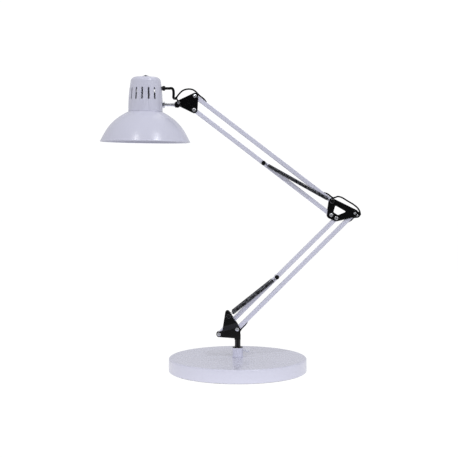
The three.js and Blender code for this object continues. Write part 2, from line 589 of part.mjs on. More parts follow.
piece('elbow_bolt', clampBolt(elbowFront), ZINC);
piece('elbow_wing_nut', wingNut(elbowFront, ELBOW_WING_ANGLE), BLACK_PLASTIC);

// ---------------------------------------------------------------- head bracket
function headPlate(side) {
  const [inner, outer] = side < 0 ? [-PLATE_OUTER, -PLATE_INNER] : [PLATE_INNER, PLATE_OUTER];
  const outline = tautOutline([
    [tiltBolt.x, tiltBolt.y, HEAD_CORNERS.tilt], [headLow.x, headLow.y, HEAD_CORNERS.low],
    [headTop.x, headTop.y, HEAD_CORNERS.top],
  ]);
  const hole = (at, radius) => crossBar(radius + GAP, at, inner - 1, outer + 1);
  return cut(sheetPiece(outline, inner, outer),
    hole(tiltBolt, BOLT_RADIUS), hole(headLow, RIVET_RADIUS), hole(headTop, RIVET_RADIUS));
}
for (const [word, side] of SIDES) piece(`head_bracket_${word}`, headPlate(side), BLACK_PAINT);
piece('head_low_rivet', rivet(headLow, PLATE_OUTER), ZINC);
piece('head_top_rivet', rivet(headTop, PLATE_OUTER), ZINC);
piece('tilt_bolt', clampBolt(tiltBolt), ZINC);
piece('tilt_wing_nut', wingNut(tiltBolt, TILT_WING_ANGLE), BLACK_PLASTIC);

// ---------------------------------------------------------------- head
// Inside this group the origin is the rim's centre and +Z is the shade's axis. It hangs on the tilt bolt.
const boltInHead = new THREE.Vector2(STEM_REACH, STEM_HEIGHT + STEM_DROP);
head.rotation.y = radians(HEAD_TILT);
head.position.set(tiltBolt.x, 0, tiltBolt.y);
head.position.sub(new THREE.Vector3(boltInHead.x, 0, boltInHead.y).applyEuler(head.rotation));

// The neck's outside, from the seam to the edge of its flat top, moved in by "inset".
function neckPoints(inset) {
  const side = new THREE.Path();
  const filletZ = NECK_TOP - SHOULDER_FILLET;
  const fillet = SHOULDER_FILLET - inset;
  side.moveTo(SEAM_RADIUS - inset, SEAM_HEIGHT + GAP);
  side.quadraticCurveTo(
    SEAM_RADIUS + NECK_SWELL - inset, NECK_SWELL_HEIGHT, SHOULDER_RADIUS - inset, filletZ,
  );
  side.absarc(SHOULDER_RADIUS - SHOULDER_FILLET, filletZ, fillet, 0, Math.PI / 2, false);
  return side.getPoints(3).map((p) => [p.x, p.y]);
}
const vents = Array.from({ length: SLOT_COUNT }, (_, i) => (i + 0.5) * (360 / SLOT_COUNT) + SLOT_TURN)
  .filter((angle) => angle > 45 && angle < 315)
  .map((angle) => new THREE.BoxGeometry(12, SLOT_WIDTH, SLOT_HIGH - SLOT_LOW)
    .translate(SEAM_RADIUS - 2, 0, (SLOT_LOW + SLOT_HIGH) / 2)
    .rotateZ(radians(angle)));
piece('neck_cover', cut(
  turned([
    ...neckPoints(0), [SWITCH_BUSHING + GAP, NECK_TOP],
    [SWITCH_BUSHING + GAP, NECK_TOP - SHEET], ...neckPoints(SHEET).reverse(),
  ], 40),
  ...vents,
  levelBar(STEM_RADIUS + GAP, HOLDER_RADIUS, SEAM_RADIUS + 3, STEM_HEIGHT),
  levelBar(RELIEF_RADIUS - 1.2 + GAP, HOLDER_RADIUS, SEAM_RADIUS + 3, RELIEF_HEIGHT),
), PAINT, head);

// The bowl: a spun dish with a beaded rim and a short spigot that goes up inside the neck cover.
const spigotRadius = SEAM_RADIUS - SHEET - GAP;
function bowlPoints(inset) {
  const curve = new THREE.CubicBezierCurve(
    new THREE.Vector2(SEAM_RADIUS - 0.2, SEAM_HEIGHT),
    new THREE.Vector2(60.8, 40.6),
    new THREE.Vector2(70.2, 25.1),
    new THREE.Vector2(RIM_RADIUS - BEAD_RADIUS, BEAD_RADIUS * 2),
  );
  const steps = 6;
  return Array.from({ length: steps + 1 }, (_, i) => {
    const point = curve.getPoint(i / steps);
    const normal = curve.getTangent(i / steps).rotateAround(new THREE.Vector2(), -Math.PI / 2);
    return [point.x + normal.x * inset, point.y + normal.y * inset];
  });
}
piece('shade_bowl', turned([
  [spigotRadius, SEAM_HEIGHT], ...bowlPoints(0),
  [RIM_RADIUS, BEAD_RADIUS * 1.3], [RIM_RADIUS, BEAD_RADIUS * 0.5], [RIM_RADIUS - BEAD_RADIUS * 0.7, 0],
  [RIM_RADIUS - BEAD_RADIUS * 2, 0.3],
  ...bowlPoints(SHEET).slice(1).reverse(),
  [spigotRadius - SHEET, SEAM_HEIGHT - SHEET], [spigotRadius - SHEET, SEAM_HEIGHT + SPIGOT_HEIGHT],
  [spigotRadius, SEAM_HEIGHT + SPIGOT_HEIGHT],
], 52), PAINT, head);

// ---------------------------------------------------------------- switch, strap and lamp holder
piece('holder_strap', cut(
  (() => {
    const legY = HOLDER_RADIUS + GAP;
    const strap = new THREE.Shape();
    strap.moveTo(-legY - PLATE, HOLDER_TOP - 25);
    strap.lineTo(-legY, HOLDER_TOP - 25);
    strap.lineTo(-legY, STRAP_TOP - PLATE);
    strap.lineTo(legY, STRAP_TOP - PLATE);
    strap.lineTo(legY, HOLDER_TOP - 25);
    strap.lineTo(legY + PLATE, HOLDER_TOP - 25);
    strap.lineTo(legY + PLATE, STRAP_TOP);
    strap.lineTo(-legY - PLATE, STRAP_TOP);
    return new THREE.ExtrudeGeometry(strap, { depth: STRAP_WIDTH, bevelEnabled: false })
      .applyMatrix4(new THREE.Matrix4().makeBasis(
        new THREE.Vector3(0, 1, 0), new THREE.Vector3(0, 0, 1), new THREE.Vector3(1, 0, 0),
      ))
      .translate(-STRAP_WIDTH / 2, 0, 0);
  })(),
  upright(SWITCH_BUSHING + GAP, HOLDER_TOP, NECK_TOP),
), ZINC, head);

const socketEnd = HOLDER_MOUTH + HOLDER_DEPTH;
piece('lamp_holder', turned([
  [0, HOLDER_TOP], [HOLDER_RADIUS - 6, HOLDER_TOP], [HOLDER_RADIUS - 1.5, HOLDER_TOP - 9],
  [HOLDER_RADIUS, HOLDER_TOP - 12], [HOLDER_RADIUS, HOLDER_MOUTH + 3], [HOLDER_RADIUS - 1.5, HOLDER_MOUTH],
  [HOLDER_BORE + 1.4, HOLDER_MOUTH], [HOLDER_BORE + 1.4, socketEnd], [0, socketEnd],
], 32), PHENOLIC, head);

// The spring contact at the bottom of the socket is a bent strip.
piece('holder_contact', sheetPiece(tautOutline([
  [-4, socketEnd - 1.1, 0.4], [5, socketEnd - 4.5, 0.4], [5.6, socketEnd - 3.7, 0.4], [-4, socketEnd - 0.8, 0.4],
]), -3, 3), BRASS, head);

piece('holder_screw_shell', turned([
  [HOLDER_BORE, HOLDER_MOUTH + 4], [HOLDER_BORE + 1.1, HOLDER_MOUTH + 4],
  [HOLDER_BORE + 1.1, socketEnd - 6], [HOLDER_BORE, socketEnd - 6],
], 32), BRASS, head);

const bodyTop = STRAP_TOP - PLATE - GAP;
const bodyLow = HOLDER_TOP + 1;
piece('switch_body', turned([
  [0, bodyLow], [SWITCH_RADIUS, bodyLow], [SWITCH_RADIUS, bodyTop], [SWITCH_BUSHING, bodyTop],
  [SWITCH_BUSHING, NECK_TOP + BEZEL_HEIGHT - 0.4], [BUTTON_RADIUS + GAP, NECK_TOP + BEZEL_HEIGHT - 0.4],
  [BUTTON_RADIUS + GAP, bodyTop - 5], [0, bodyTop - 5],
], 32), BLACK_PLASTIC, head);

piece('switch_bezel', turned([
  [SWITCH_BUSHING + GAP, NECK_TOP + GAP], [BEZEL_RADIUS, NECK_TOP + GAP],
  [BEZEL_RADIUS, NECK_TOP + BEZEL_HEIGHT * 0.5], [BEZEL_RADIUS - 1.6, NECK_TOP + BEZEL_HEIGHT],
  [SWITCH_BUSHING + GAP, NECK_TOP + BEZEL_HEIGHT],
], 32), ZINC, head);

const buttonLow = bodyTop - 2;
piece('switch_button', turned([
  [0, buttonLow], [BUTTON_RADIUS, buttonLow], [BUTTON_RADIUS, NECK_TOP + BEZEL_HEIGHT + 0.6],
  [BUTTON_RADIUS * 0.75, NECK_TOP + BUTTON_RISE - 0.3], [0, NECK_TOP + BUTTON_RISE],
], 24), ZINC, head);

// ---------------------------------------------------------------- stem
const innerNutFace = Math.sqrt((SEAM_RADIUS - SHEET) ** 2 - HEX_RADIUS ** 2) - GAP;
const outerNutFace = SEAM_RADIUS + 0.3 + GAP;
const nutThickness = 3.4;
const stemEnd = HOLDER_RADIUS + GAP + 0.4;
const neckStart = STEM_REACH - EYE_RADIUS - 4;
piece('stem', cut(
  joined(
    levelBar(STEM_RADIUS, stemEnd, neckStart + 1, STEM_HEIGHT, 20),
    levelBar(STEM_RADIUS + 0.7, neckStart, neckStart + 2.4, STEM_HEIGHT, 20),
    sheetPiece(
      tautOutline([[neckStart + 4, STEM_HEIGHT, 2.6], [boltInHead.x, boltInHead.y, EYE_RADIUS]]),
      -PLATE_INNER + GAP * 2, PLATE_INNER - GAP * 2,
    ),
  ),
  crossBar(BOLT_RADIUS + GAP, boltInHead, -PLATE_INNER - 1, PLATE_INNER + 1),
), ZINC, head);

for (const [name, low] of [['stem_outer_nut', outerNutFace], ['stem_inner_nut', innerNutFace - nutThickness]]) {
  piece(name, cut(
    hexagon(HEX_RADIUS, nutThickness).rotateZ(Math.PI / 2).translate(low + nutThickness / 2, 0, STEM_HEIGHT),
    levelBar(STEM_RADIUS + GAP, low - 1, low + nutThickness + 1, STEM_HEIGHT, 20),
  ), ZINC, head);
}

// ---------------------------------------------------------------- lead
// Strain relief: a bush through the neck's wall with a round bell outside.
const reliefWall = 29.4; // the neck's outer radius at the strain relief
piece('strain_relief', cut(
  turned([
    [0, reliefWall - 4], [RELIEF_RADIUS - 0.2, reliefWall - 4], [RELIEF_RADIUS - 0.2, reliefWall - 2.6],
    [RELIEF_RADIUS - 1.2, reliefWall - 2.4], [RELIEF_RADIUS - 1.2, reliefWall + 1.1],
    [RELIEF_RADIUS, reliefWall + 1.3], [RELIEF_RADIUS, reliefWall + 3.6],
    [RELIEF_RADIUS - 1.1, reliefWall + RELIEF_LENGTH], [0, reliefWall + RELIEF_LENGTH],
  ], 24).rotateY(Math.PI / 2).translate(0, 0, RELIEF_HEIGHT),
  levelBar(LEAD_HALF_WIDTH + GAP, reliefWall - 6, reliefWall + RELIEF_LENGTH + 1, RELIEF_HEIGHT),
), BLACK_PLASTIC, head);

// A stretch of the flat lead through the points, broad side across the plane of the arm.
function leadStretch(points, steps) {
  const route = new THREE.CatmullRomCurve3(points.map(([x, y, z]) => new THREE.Vector3(x, y, z)));
  const section = new THREE.Shape();
  section.absellipse(0, 0, LEAD_HALF_WIDTH, LEAD_HALF_THICKNESS, 0, Math.PI * 2, false);
  return new THREE.ExtrudeGeometry(section, { steps, curveSegments: 4, extrudePath: route });
}
// Points given as [x, z] from a pivot.
const near = (pivot, points) => points.map(([x, z]) => [pivot.x + x, 0, pivot.y + z]);
const reliefMouth = new THREE.Vector2(reliefWall + RELIEF_LENGTH, RELIEF_HEIGHT);

piece('lead_head', leadStretch(near(reliefMouth, [
  [-26.8, 1.7], [-21.8, 2.2], [-15.8, 0.9], [-9.8, 0], [-3.8, 0], [2.2, 0], [8.7, 0],
]), 14), BLACK_PLASTIC, head);

// Points beside a tube are given as [distance from the pivot, distance out from the tube's axis], the second
// in halves of the tube's width.
function beside(start, arm, outward, pairs) {
  const turn = radians(arm.angle);
  return pairs.map(([s, t]) => [
    start.x + s * Math.cos(turn) - outward * t * (BAR / 2) * Math.sin(turn), 0,
    start.y + s * Math.sin(turn) + outward * t * (BAR / 2) * Math.cos(turn),
  ]);
}

piece('lead_head_loop', leadStretch([
  ...near(headTop, [
    [-44.32, 14.48], [-41.12, 13.48], [-39.42, 10.28], [-39.02, 2.38], [-39.12, -2.52], [-36.72, -4.72],
    [-34.52, -3.12], [-31.72, 0.48], [-27.32, 5.88], [-20.82, 10.88], [-11.52, 12.88], [-3.52, 11.48],
  ]),
  ...beside(elbowTop, UPPER_ARM, -1, [
    [UPPER_ARM.length + 2.39, 1.802], [UPPER_ARM.length - 2.68, 1.543], [UPPER_ARM.length - 5.96, 1.416],
  ]),
], 24), BLACK_PLASTIC);

const proudEntry = [[7, 1.42], [12, 1.37], [17, 1.1], [22, 0.6], [27, 0.2], [33, 0]];
const sunkEntry = [[7, 1.15], [12, 1.02], [17, 0.75], [22, 0.37], [27, 0.1], [33, 0]];
const insideTube = (arm, entry) => [
  ...entry, [arm.length / 2, 0],
  ...entry.map(([s, t]) => [arm.length - s, t]).reverse(),
];
piece('lead_upper_arm', leadStretch(
  beside(elbowTop, UPPER_ARM, -1, insideTube(UPPER_ARM, proudEntry)), 36,
), BLACK_PLASTIC);
piece('lead_lower_arm', leadStretch(
  beside(frontPivot, LOWER_ARM, -1, insideTube(LOWER_ARM, sunkEntry)), 36,
), BLACK_PLASTIC);

const halfBar = BAR / 2; // the loop's ends lie against the tubes
piece('lead_elbow_loop', leadStretch([
  ...beside(elbowTop, UPPER_ARM, -1, [[6, 1.478], [1.89, 1.573]]),
  ...near(elbowFront, [
    [-35.3, 28.75], [-30.7, 30.35], [-23.9, 28.95], [-12.5, 22.25], [-0.5, 14.95], [6.9, 8.25],
    [10.3, 1.05], [9.7, -4.15], [1.625 * halfBar, -1.7375 * halfBar],
    [0.675 * halfBar, -1.8875 * halfBar], [-0.175 * halfBar, -2.0125 * halfBar],
  ]),
], 24), BLACK_PLASTIC);

// Down the middle of the post; its ends in the post and in the base meet just above the base's top.
const leadJoint = shaftLow + 1;
piece('lead_swivel', leadStretch([
  ...near(frontPivot, [[7.6, 1], [5.8, -1.6], [4.6, -4.6], [2.8, -7.7], [1.3, -11], [1, -15]]),
  [0, 0, sleeveTop], [0, 0, sleeveLow], [0, 0, (sleeveLow + leadJoint) / 2], [0, 0, leadJoint],
], 20), BLACK_PLASTIC);

const leadRest = 4.2; // height at which the lead lies along the base pad
piece('lead_base', leadStretch([
  [0, 0, leadJoint - GAP * 2], [0, 0, stubLow + 6], [0, 0.3, stubLow + 1.2], [0, 2.2, leadRest + 3.8],
  [0, 6.2, leadRest + 1], [0, 12, leadRest + 0.1], [0, 20, leadRest], [0, BASE_RADIUS - 67, leadRest + 0.2],
  [0, BASE_RADIUS - 32, leadRest + 2.4], [0, BASE_RADIUS - 21, GLAND_HEIGHT - 0.8],
  [0, BASE_RADIUS - 13, GLAND_HEIGHT], [0, BASE_RADIUS - 7, GLAND_HEIGHT],
], 24), BLACK_PLASTIC);

export default lamp;
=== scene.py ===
import json
import math

import bmesh
import bpy
from mathutils import Matrix, Vector
from mathutils.geometry import intersect_line_line_2d


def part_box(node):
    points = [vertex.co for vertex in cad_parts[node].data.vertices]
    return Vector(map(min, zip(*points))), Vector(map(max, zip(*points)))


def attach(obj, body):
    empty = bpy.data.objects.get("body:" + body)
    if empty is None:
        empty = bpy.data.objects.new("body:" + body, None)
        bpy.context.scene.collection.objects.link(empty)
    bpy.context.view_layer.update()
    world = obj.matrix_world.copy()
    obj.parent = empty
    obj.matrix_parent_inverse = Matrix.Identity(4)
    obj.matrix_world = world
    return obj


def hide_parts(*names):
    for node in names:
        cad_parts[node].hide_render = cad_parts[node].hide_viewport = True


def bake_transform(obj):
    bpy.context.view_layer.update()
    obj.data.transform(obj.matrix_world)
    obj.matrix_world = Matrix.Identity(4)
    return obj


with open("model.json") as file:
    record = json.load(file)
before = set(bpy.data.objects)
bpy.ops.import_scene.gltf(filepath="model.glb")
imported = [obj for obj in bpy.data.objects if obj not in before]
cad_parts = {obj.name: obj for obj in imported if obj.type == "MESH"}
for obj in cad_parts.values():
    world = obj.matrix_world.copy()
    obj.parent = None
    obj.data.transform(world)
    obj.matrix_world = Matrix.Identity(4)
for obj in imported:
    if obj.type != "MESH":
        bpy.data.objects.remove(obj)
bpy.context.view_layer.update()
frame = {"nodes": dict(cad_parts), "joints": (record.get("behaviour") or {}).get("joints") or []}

# ---------------------------------------------------------------- camera
# A plain camera in front of the lamp, a little above its middle. It is tipped down just enough to show the
# top of the base.


def new_object(name, data):
    """A new object in the scene."""
    made = bpy.data.objects.new(name, data)
    bpy.context.scene.collection.objects.link(made)
    return made


CAMERA_LENS, CAMERA_TIP = 82.53, 3.176
camera_data = bpy.data.cameras.new("camera")
camera_data.sensor_width = 36.0
camera_data.lens = CAMERA_LENS
camera = new_object("camera", camera_data)
camera.location = (-0.016, -1.923, 0.3685)
camera.rotation_euler = (math.radians(90.0 - CAMERA_TIP), 0.0, 0.0)
bpy.context.scene.camera = camera

# ---------------------------------------------------------------- floor and light
# A sheet of white paper and a white backdrop, in a tent of soft light. Two small soft boxes give the gloss
# its glints, and a big one in front fills the shadows.
bpy.context.scene.view_settings.view_transform = "Standard"


def node(tree, kind, settings=None, **sockets):
    """A node in tree. settings are its own options, and sockets its unlinked values or links."""
    made = tree.nodes.new(kind)
    for key, value in (settings or {}).items():
        setattr(made, key, value)
    for key, value in sockets.items():
        numbered = key[0] == "i" and key[1:].isdigit()
        socket = made.inputs[int(key[1:]) if numbered else key.replace("_", " ")]
        if isinstance(value, bpy.types.NodeSocket):
            tree.links.new(value, socket)
        else:
            socket.default_value = value
    return made


FLOOR_REACH, FLOOR_SEEN = 6.0, 0.95
PAPER_DIM, PAPER_BRIGHT = 0.02, 0.85
floor_mesh = bpy.data.meshes.new("floor")
floor_mesh.from_pydata([(-FLOOR_REACH, -FLOOR_REACH, 0), (FLOOR_REACH, -FLOOR_REACH, 0),
                        (FLOOR_REACH, FLOOR_REACH, 0), (-FLOOR_REACH, FLOOR_REACH, 0)], [], [(0, 1, 2, 3)])
new_object("floor", floor_mesh)



def new_finish(name):
    """A new material, its node tree and its shader."""
    material = bpy.data.materials.new(name)
    material.use_nodes = True
    return material, material.node_tree, material.node_tree.nodes["Principled BSDF"]


# The paper is lit from below. It shines pure white, lights the lamp more gently, and is dim at its front edge.
floor_paper, paper, paper_shader = new_finish("white_paper")
floor_mesh.materials.append(floor_paper)
paper_place = node(paper, "ShaderNodeSeparateXYZ", Vector=node(paper, "ShaderNodeTexCoord").outputs["Object"])
paper_edge = node(paper, "ShaderNodeMapRange", Value=paper_place.outputs["Y"], From_Min=-0.34, From_Max=-0.20,
                  To_Min=PAPER_DIM, To_Max=PAPER_BRIGHT)
paper_glow = node(paper, "ShaderNodeMix", Factor=node(paper, "ShaderNodeLightPath").outputs["Is Camera Ray"],
                  A=paper_edge.outputs[0], B=FLOOR_SEEN)
for title, value in (("Base Color", (0.12, 0.12, 0.12, 1.0)), ("Roughness", 0.9), ("Specular IOR Level", 0.0),
                     ("Emission Color", (1.0, 1.0, 1.0, 1.0))):
    paper_shader.inputs[title].default_value = value
paper.links.new(paper_glow.outputs[0], paper_shader.inputs["Emission Strength"])

# The tent is pure white behind the lamp, gentler in the light it casts, and dark at its open front.
TENT_SEEN = 1.05
world = bpy.data.worlds.new("tent")
world.use_nodes = True
tent = world.node_tree
tent_way = node(tent, "ShaderNodeSeparateXYZ", Vector=node(tent, "ShaderNodeTexCoord").outputs["Generated"])
tent_front = node(tent, "ShaderNodeMapRange", Value=tent_way.outputs["Y"], From_Min=-0.93, From_Max=-0.70,
                  To_Min=0.04, To_Max=1.0)
tent_top = node(tent, "ShaderNodeMapRange", Value=tent_way.outputs["Z"], From_Min=0.2, From_Max=0.9,
                To_Min=0.70, To_Max=0.48)
tent_cast = node(tent, "ShaderNodeMath", {"operation": "MULTIPLY"}, i0=tent_front.outputs[0],
                 i1=tent_top.outputs[0])
tent_glow = node(tent, "ShaderNodeMix", Factor=node(tent, "ShaderNodeLightPath").outputs["Is Camera Ray"],
                 A=tent_cast.outputs[0], B=TENT_SEEN)
tent.nodes["Background"].inputs["Color"].default_value = (0.99, 0.992, 1.0, 1.0)
tent.links.new(tent_glow.outputs[0], tent.nodes["Background"].inputs["Strength"])
bpy.context.scene.world = world


def soft_box(name, place, aim, size, watts, colour=(1.0, 1.0, 1.0)):
    """A square studio light at place that faces aim."""
    data = bpy.data.lights.new(name, "AREA")
    data.shape = "SQUARE"
    data.size = size
    data.energy = watts
    data.color = colour
    light = new_object(name, data)
    light.location = place
    light.rotation_euler = (Vector(aim) - Vector(place)).to_track_quat("-Z", "Y").to_euler()
    return light


soft_box("left_box", (-0.80, -1.36, 2.10), (-0.1, 0.0, 0.35), 0.34, 7.5)
soft_box("right_box", (0.86, -1.10, 2.05), (0.0, 0.0, 0.3), 0.40, 9.0, (0.93, 0.96, 1.0))
soft_box("back_box", (0.2, 1.2, 2.2), (0.0, 0.0, 0.3), 0.9, 3.0)
soft_box("front_box", (0.0, -2.6, 0.5), (0.0, 0.0, 0.3), 1.2, 21.0, (0.97, 0.98, 1.0)).visible_glossy = False

# ---------------------------------------------------------------- base
# The cover of the base is drawn from one sheet of steel with a rounded edge, then enamelled gloss white.
# It drops over an iron ballast plate and stands on a foam pad.
MM = 0.001  # pieces are drawn in millimetres, and Blender works in metres


def new_piece(name, mesh, body, material, replaced=()):
    """A finished piece: its mesh is in the lamp's own frame, and it rides on a body."""
    piece = new_object(name, mesh)
    mesh.materials.clear()
    mesh.materials.append(material)
    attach(piece, body)
    if replaced:
        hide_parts(*replaced)
    return piece


def applied(mesh, *steps):
    """The mesh after modifiers, each given as (kind, settings)."""
    work = new_object(mesh.name, mesh)
    for kind, settings in steps:
        step = work.modifiers.new(kind, kind)
        for key, value in settings.items():
            setattr(step, key, value)
    graph = bpy.context.evaluated_depsgraph_get()
    result = bpy.data.meshes.new_from_object(work.evaluated_get(graph))
    result.name = mesh.name
    bpy.data.objects.remove(work)
    return result


def smoothed(mesh, angle=32.0):
    """Smooth shading that keeps flat faces flat, and creases where two faces meet at more than this angle."""
    mesh.shade_smooth()
    mesh.set_sharp_from_angle(angle=math.radians(angle))
    return applied(mesh, ("WEIGHTED_NORMAL", {"keep_sharp": True, "weight": 50}))


def arc(centre, radius, start, end, steps):
    """Points on an arc, in millimetres, from start to end degrees."""
    turns = [math.radians(start + (end - start) * i / steps) for i in range(steps + 1)]
    return [(centre[0] + radius * math.cos(t), centre[1] + radius * math.sin(t)) for t in turns]


def eased(profile, closed=True, margin=0.12):
    """The profile with points added near the ends of its long straights, which keeps the flats flat."""
    points = []
    count = len(profile)
    for i, (r0, z0) in enumerate(profile):
        points.append((r0, z0))
        if not closed and i == count - 1:
            break
        r1, z1 = profile[(i + 1) % count]
        length = math.hypot(r1 - r0, z1 - z0)
        if length > 6 * margin:
            share = margin / length
            for t in (share, 1 - share):
                points.append((r0 + (r1 - r0) * t, z0 + (z1 - z0) * t))
    return points


def as_mesh(name, build):
    """The mesh of a finished bmesh, which is then let go."""
    mesh = bpy.data.meshes.new(name)
    build.to_mesh(mesh)
    build.free()
    return mesh


def turned(name, profile, segments=96, place=Matrix(), closed=True, flutes=None):
    """A turned piece about Z: profile is (radius, height) in millimetres. flutes(turn, r, z) may change r."""
    build = bmesh.new()
    rings = []
    for r, z in eased(profile, closed):
        if r < 1e-6:
            rings.append([build.verts.new((0, 0, z * MM))])
            continue
        ring = []
        for i in range(segments):
            turn = 2 * math.pi * i / segments
            radius = flutes(turn, r, z) if flutes else r
            ring.append(build.verts.new((radius * MM * math.cos(turn), radius * MM * math.sin(turn), z * MM)))
        rings.append(ring)
    pairs = list(zip(rings, rings[1:] + rings[:1])) if closed else list(zip(rings, rings[1:]))
    for low, high in pairs:
        if len(low) == 1 and len(high) == 1:
            continue
        for i in range(segments):
            k = (i + 1) % segments
            if len(low) == 1:
                build.faces.new((low[0], high[k], high[i]))
            elif len(high) == 1:
                build.faces.new((low[i], low[k], high[0]))
            else:
                build.faces.new((low[i], low[k], high[k], high[i]))
    bmesh.ops.recalc_face_normals(build, faces=build.faces)
    bmesh.ops.transform(build, matrix=place, verts=build.verts)
    return smoothed(as_mesh(name, build))


def turned_piece(name, profile, segments, body, material, node_name, place=Matrix(), closed=True, flutes=None):
    """A finished piece that is turned in one."""
    new_piece(name, turned(name, profile, segments, place, closed, flutes), body, material, [node_name])


def round_bar(radius, low, high):
    """The profile of a plain round bar, which also serves as a drill."""
    return [(0.0, low), (radius, low), (radius, high), (0.0, high)]


# Shader tools: an empty group, and the groups that several finishes share.
def shader_group(name, inputs, outputs):
    """An empty node group with float or colour sockets: (name, kind, value)."""
    tree = bpy.data.node_groups.new(name, "ShaderNodeTree")
    for title, kind, value in inputs:
        socket = tree.interface.new_socket(title, in_out="INPUT", socket_type=kind)
        socket.default_value = value
    for title, kind in outputs:
        tree.interface.new_socket(title, in_out="OUTPUT", socket_type=kind)
    return tree, tree.nodes.new("NodeGroupInput"), tree.nodes.new("NodeGroupOutput")


FLOAT, COLOUR = "NodeSocketFloat", "NodeSocketColor"

# Sprayed film: the slight cloudiness of a stoved paint or a moulded surface, and its orange-peel skin.
film, film_in, film_out = shader_group(
    "sprayed_film",
    [("Colour", COLOUR, (1, 1, 1, 1)), ("Cloud", FLOAT, 0.04), ("Cloud Size", FLOAT, 18.0),
     ("Peel Size", FLOAT, 900.0), ("Gloss", FLOAT, 0.25), ("Gloss Spread", FLOAT, 0.06)],
    [("Colour", COLOUR), ("Roughness", FLOAT), ("Height", FLOAT)])
film_place = node(film, "ShaderNodeTexCoord").outputs["Object"]
film_cloud = node(film, "ShaderNodeTexNoise", Vector=film_place, Scale=film_in.outputs["Cloud Size"], Detail=4.0)
film_swing = node(film, "ShaderNodeMath", {"operation": "MULTIPLY_ADD"}, i0=film_cloud.outputs["Fac"],
                  i1=film_in.outputs["Cloud"], i2=1.0)
film_centre = node(film, "ShaderNodeMath", {"operation": "MULTIPLY_ADD"}, i0=film_in.outputs["Cloud"],
                   i1=-0.5, i2=film_swing.outputs[0])
film_tone = node(film, "ShaderNodeVectorMath", {"operation": "SCALE"}, i0=film_in.outputs["Colour"],
                 Scale=film_centre.outputs[0])
film_streak = node(film, "ShaderNodeTexNoise", Vector=film_place, Scale=70.0, Detail=3.0)
film_gloss = node(film, "ShaderNodeMath", {"operation": "MULTIPLY_ADD", "use_clamp": True},
                  i0=film_streak.outputs["Fac"], i1=film_in.outputs["Gloss Spread"], i2=film_in.outputs["Gloss"])
film_peel = node(film, "ShaderNodeTexNoise", Vector=film_place, Scale=film_in.outputs["Peel Size"], Detail=2.0)
film.links.new(film_tone.outputs[0], film_out.inputs["Colour"])
film.links.new(film_gloss.outputs[0], film_out.inputs["Roughness"])
film.links.new(film_peel.outputs["Fac"], film_out.inputs["Height"])

# Dust that settles on faces that look up: a mask, thicker in patches.
dust, dust_in, dust_out = shader_group("settled_dust", [("Amount", FLOAT, 0.15)], [("Mask", FLOAT)])
dust_up = node(dust, "ShaderNodeSeparateXYZ", Vector=node(dust, "ShaderNodeNewGeometry").outputs["Normal"])
dust_face = node(dust, "ShaderNodeMapRange", {"clamp": True}, Value=dust_up.outputs["Z"],
                 From_Min=0.35, From_Max=1.0)
dust_patch = node(dust, "ShaderNodeTexNoise", Vector=node(dust, "ShaderNodeTexCoord").outputs["Object"],
                  Scale=45.0, Detail=6.0, Roughness=0.7)
dust_both = node(dust, "ShaderNodeMath", {"operation": "MULTIPLY"}, i0=dust_face.outputs[0],
                 i1=dust_patch.outputs["Fac"])
dust_mask = node(dust, "ShaderNodeMath", {"operation": "MULTIPLY", "use_clamp": True}, i0=dust_both.outputs[0],
                 i1=dust_in.outputs["Amount"])
dust.links.new(dust_mask.outputs[0], dust_out.inputs["Mask"])

# Rubbed edges: a mask along outer edges, broken up so that it looks handled.
rub, rub_in, rub_out = shader_group("rubbed_edges", [("Start", FLOAT, 0.56), ("Width", FLOAT, 0.1)],
                                    [("Mask", FLOAT)])
rub_edge = node(rub, "ShaderNodeNewGeometry").outputs["Pointiness"]
rub_end = node(rub, "ShaderNodeMath", {"operation": "ADD"}, i0=rub_in.outputs["Start"], i1=rub_in.outputs["Width"])
rub_range = node(rub, "ShaderNodeMapRange", {"clamp": True}, Value=rub_edge, From_Min=rub_in.outputs["Start"],
                 From_Max=rub_end.outputs[0])
rub_break = node(rub, "ShaderNodeTexNoise", Vector=node(rub, "ShaderNodeTexCoord").outputs["Object"],
                 Scale=260.0, Detail=4.0)
rub_mask = node(rub, "ShaderNodeMath", {"operation": "MULTIPLY", "use_clamp": True}, i0=rub_range.outputs[0],
                i1=rub_break.outputs["Fac"])
rub.links.new(rub_mask.outputs[0], rub_out.inputs["Mask"])


HOUSE_DUST = (0.55, 0.55, 0.56)


def laid_over(tree, mask, under, over):
    """The colour over on top of the colour under, where the mask says."""
    return node(tree, "ShaderNodeMix", {"data_type": "RGBA"}, Factor=mask, i6=under, i7=(*over, 1.0)).outputs[2]


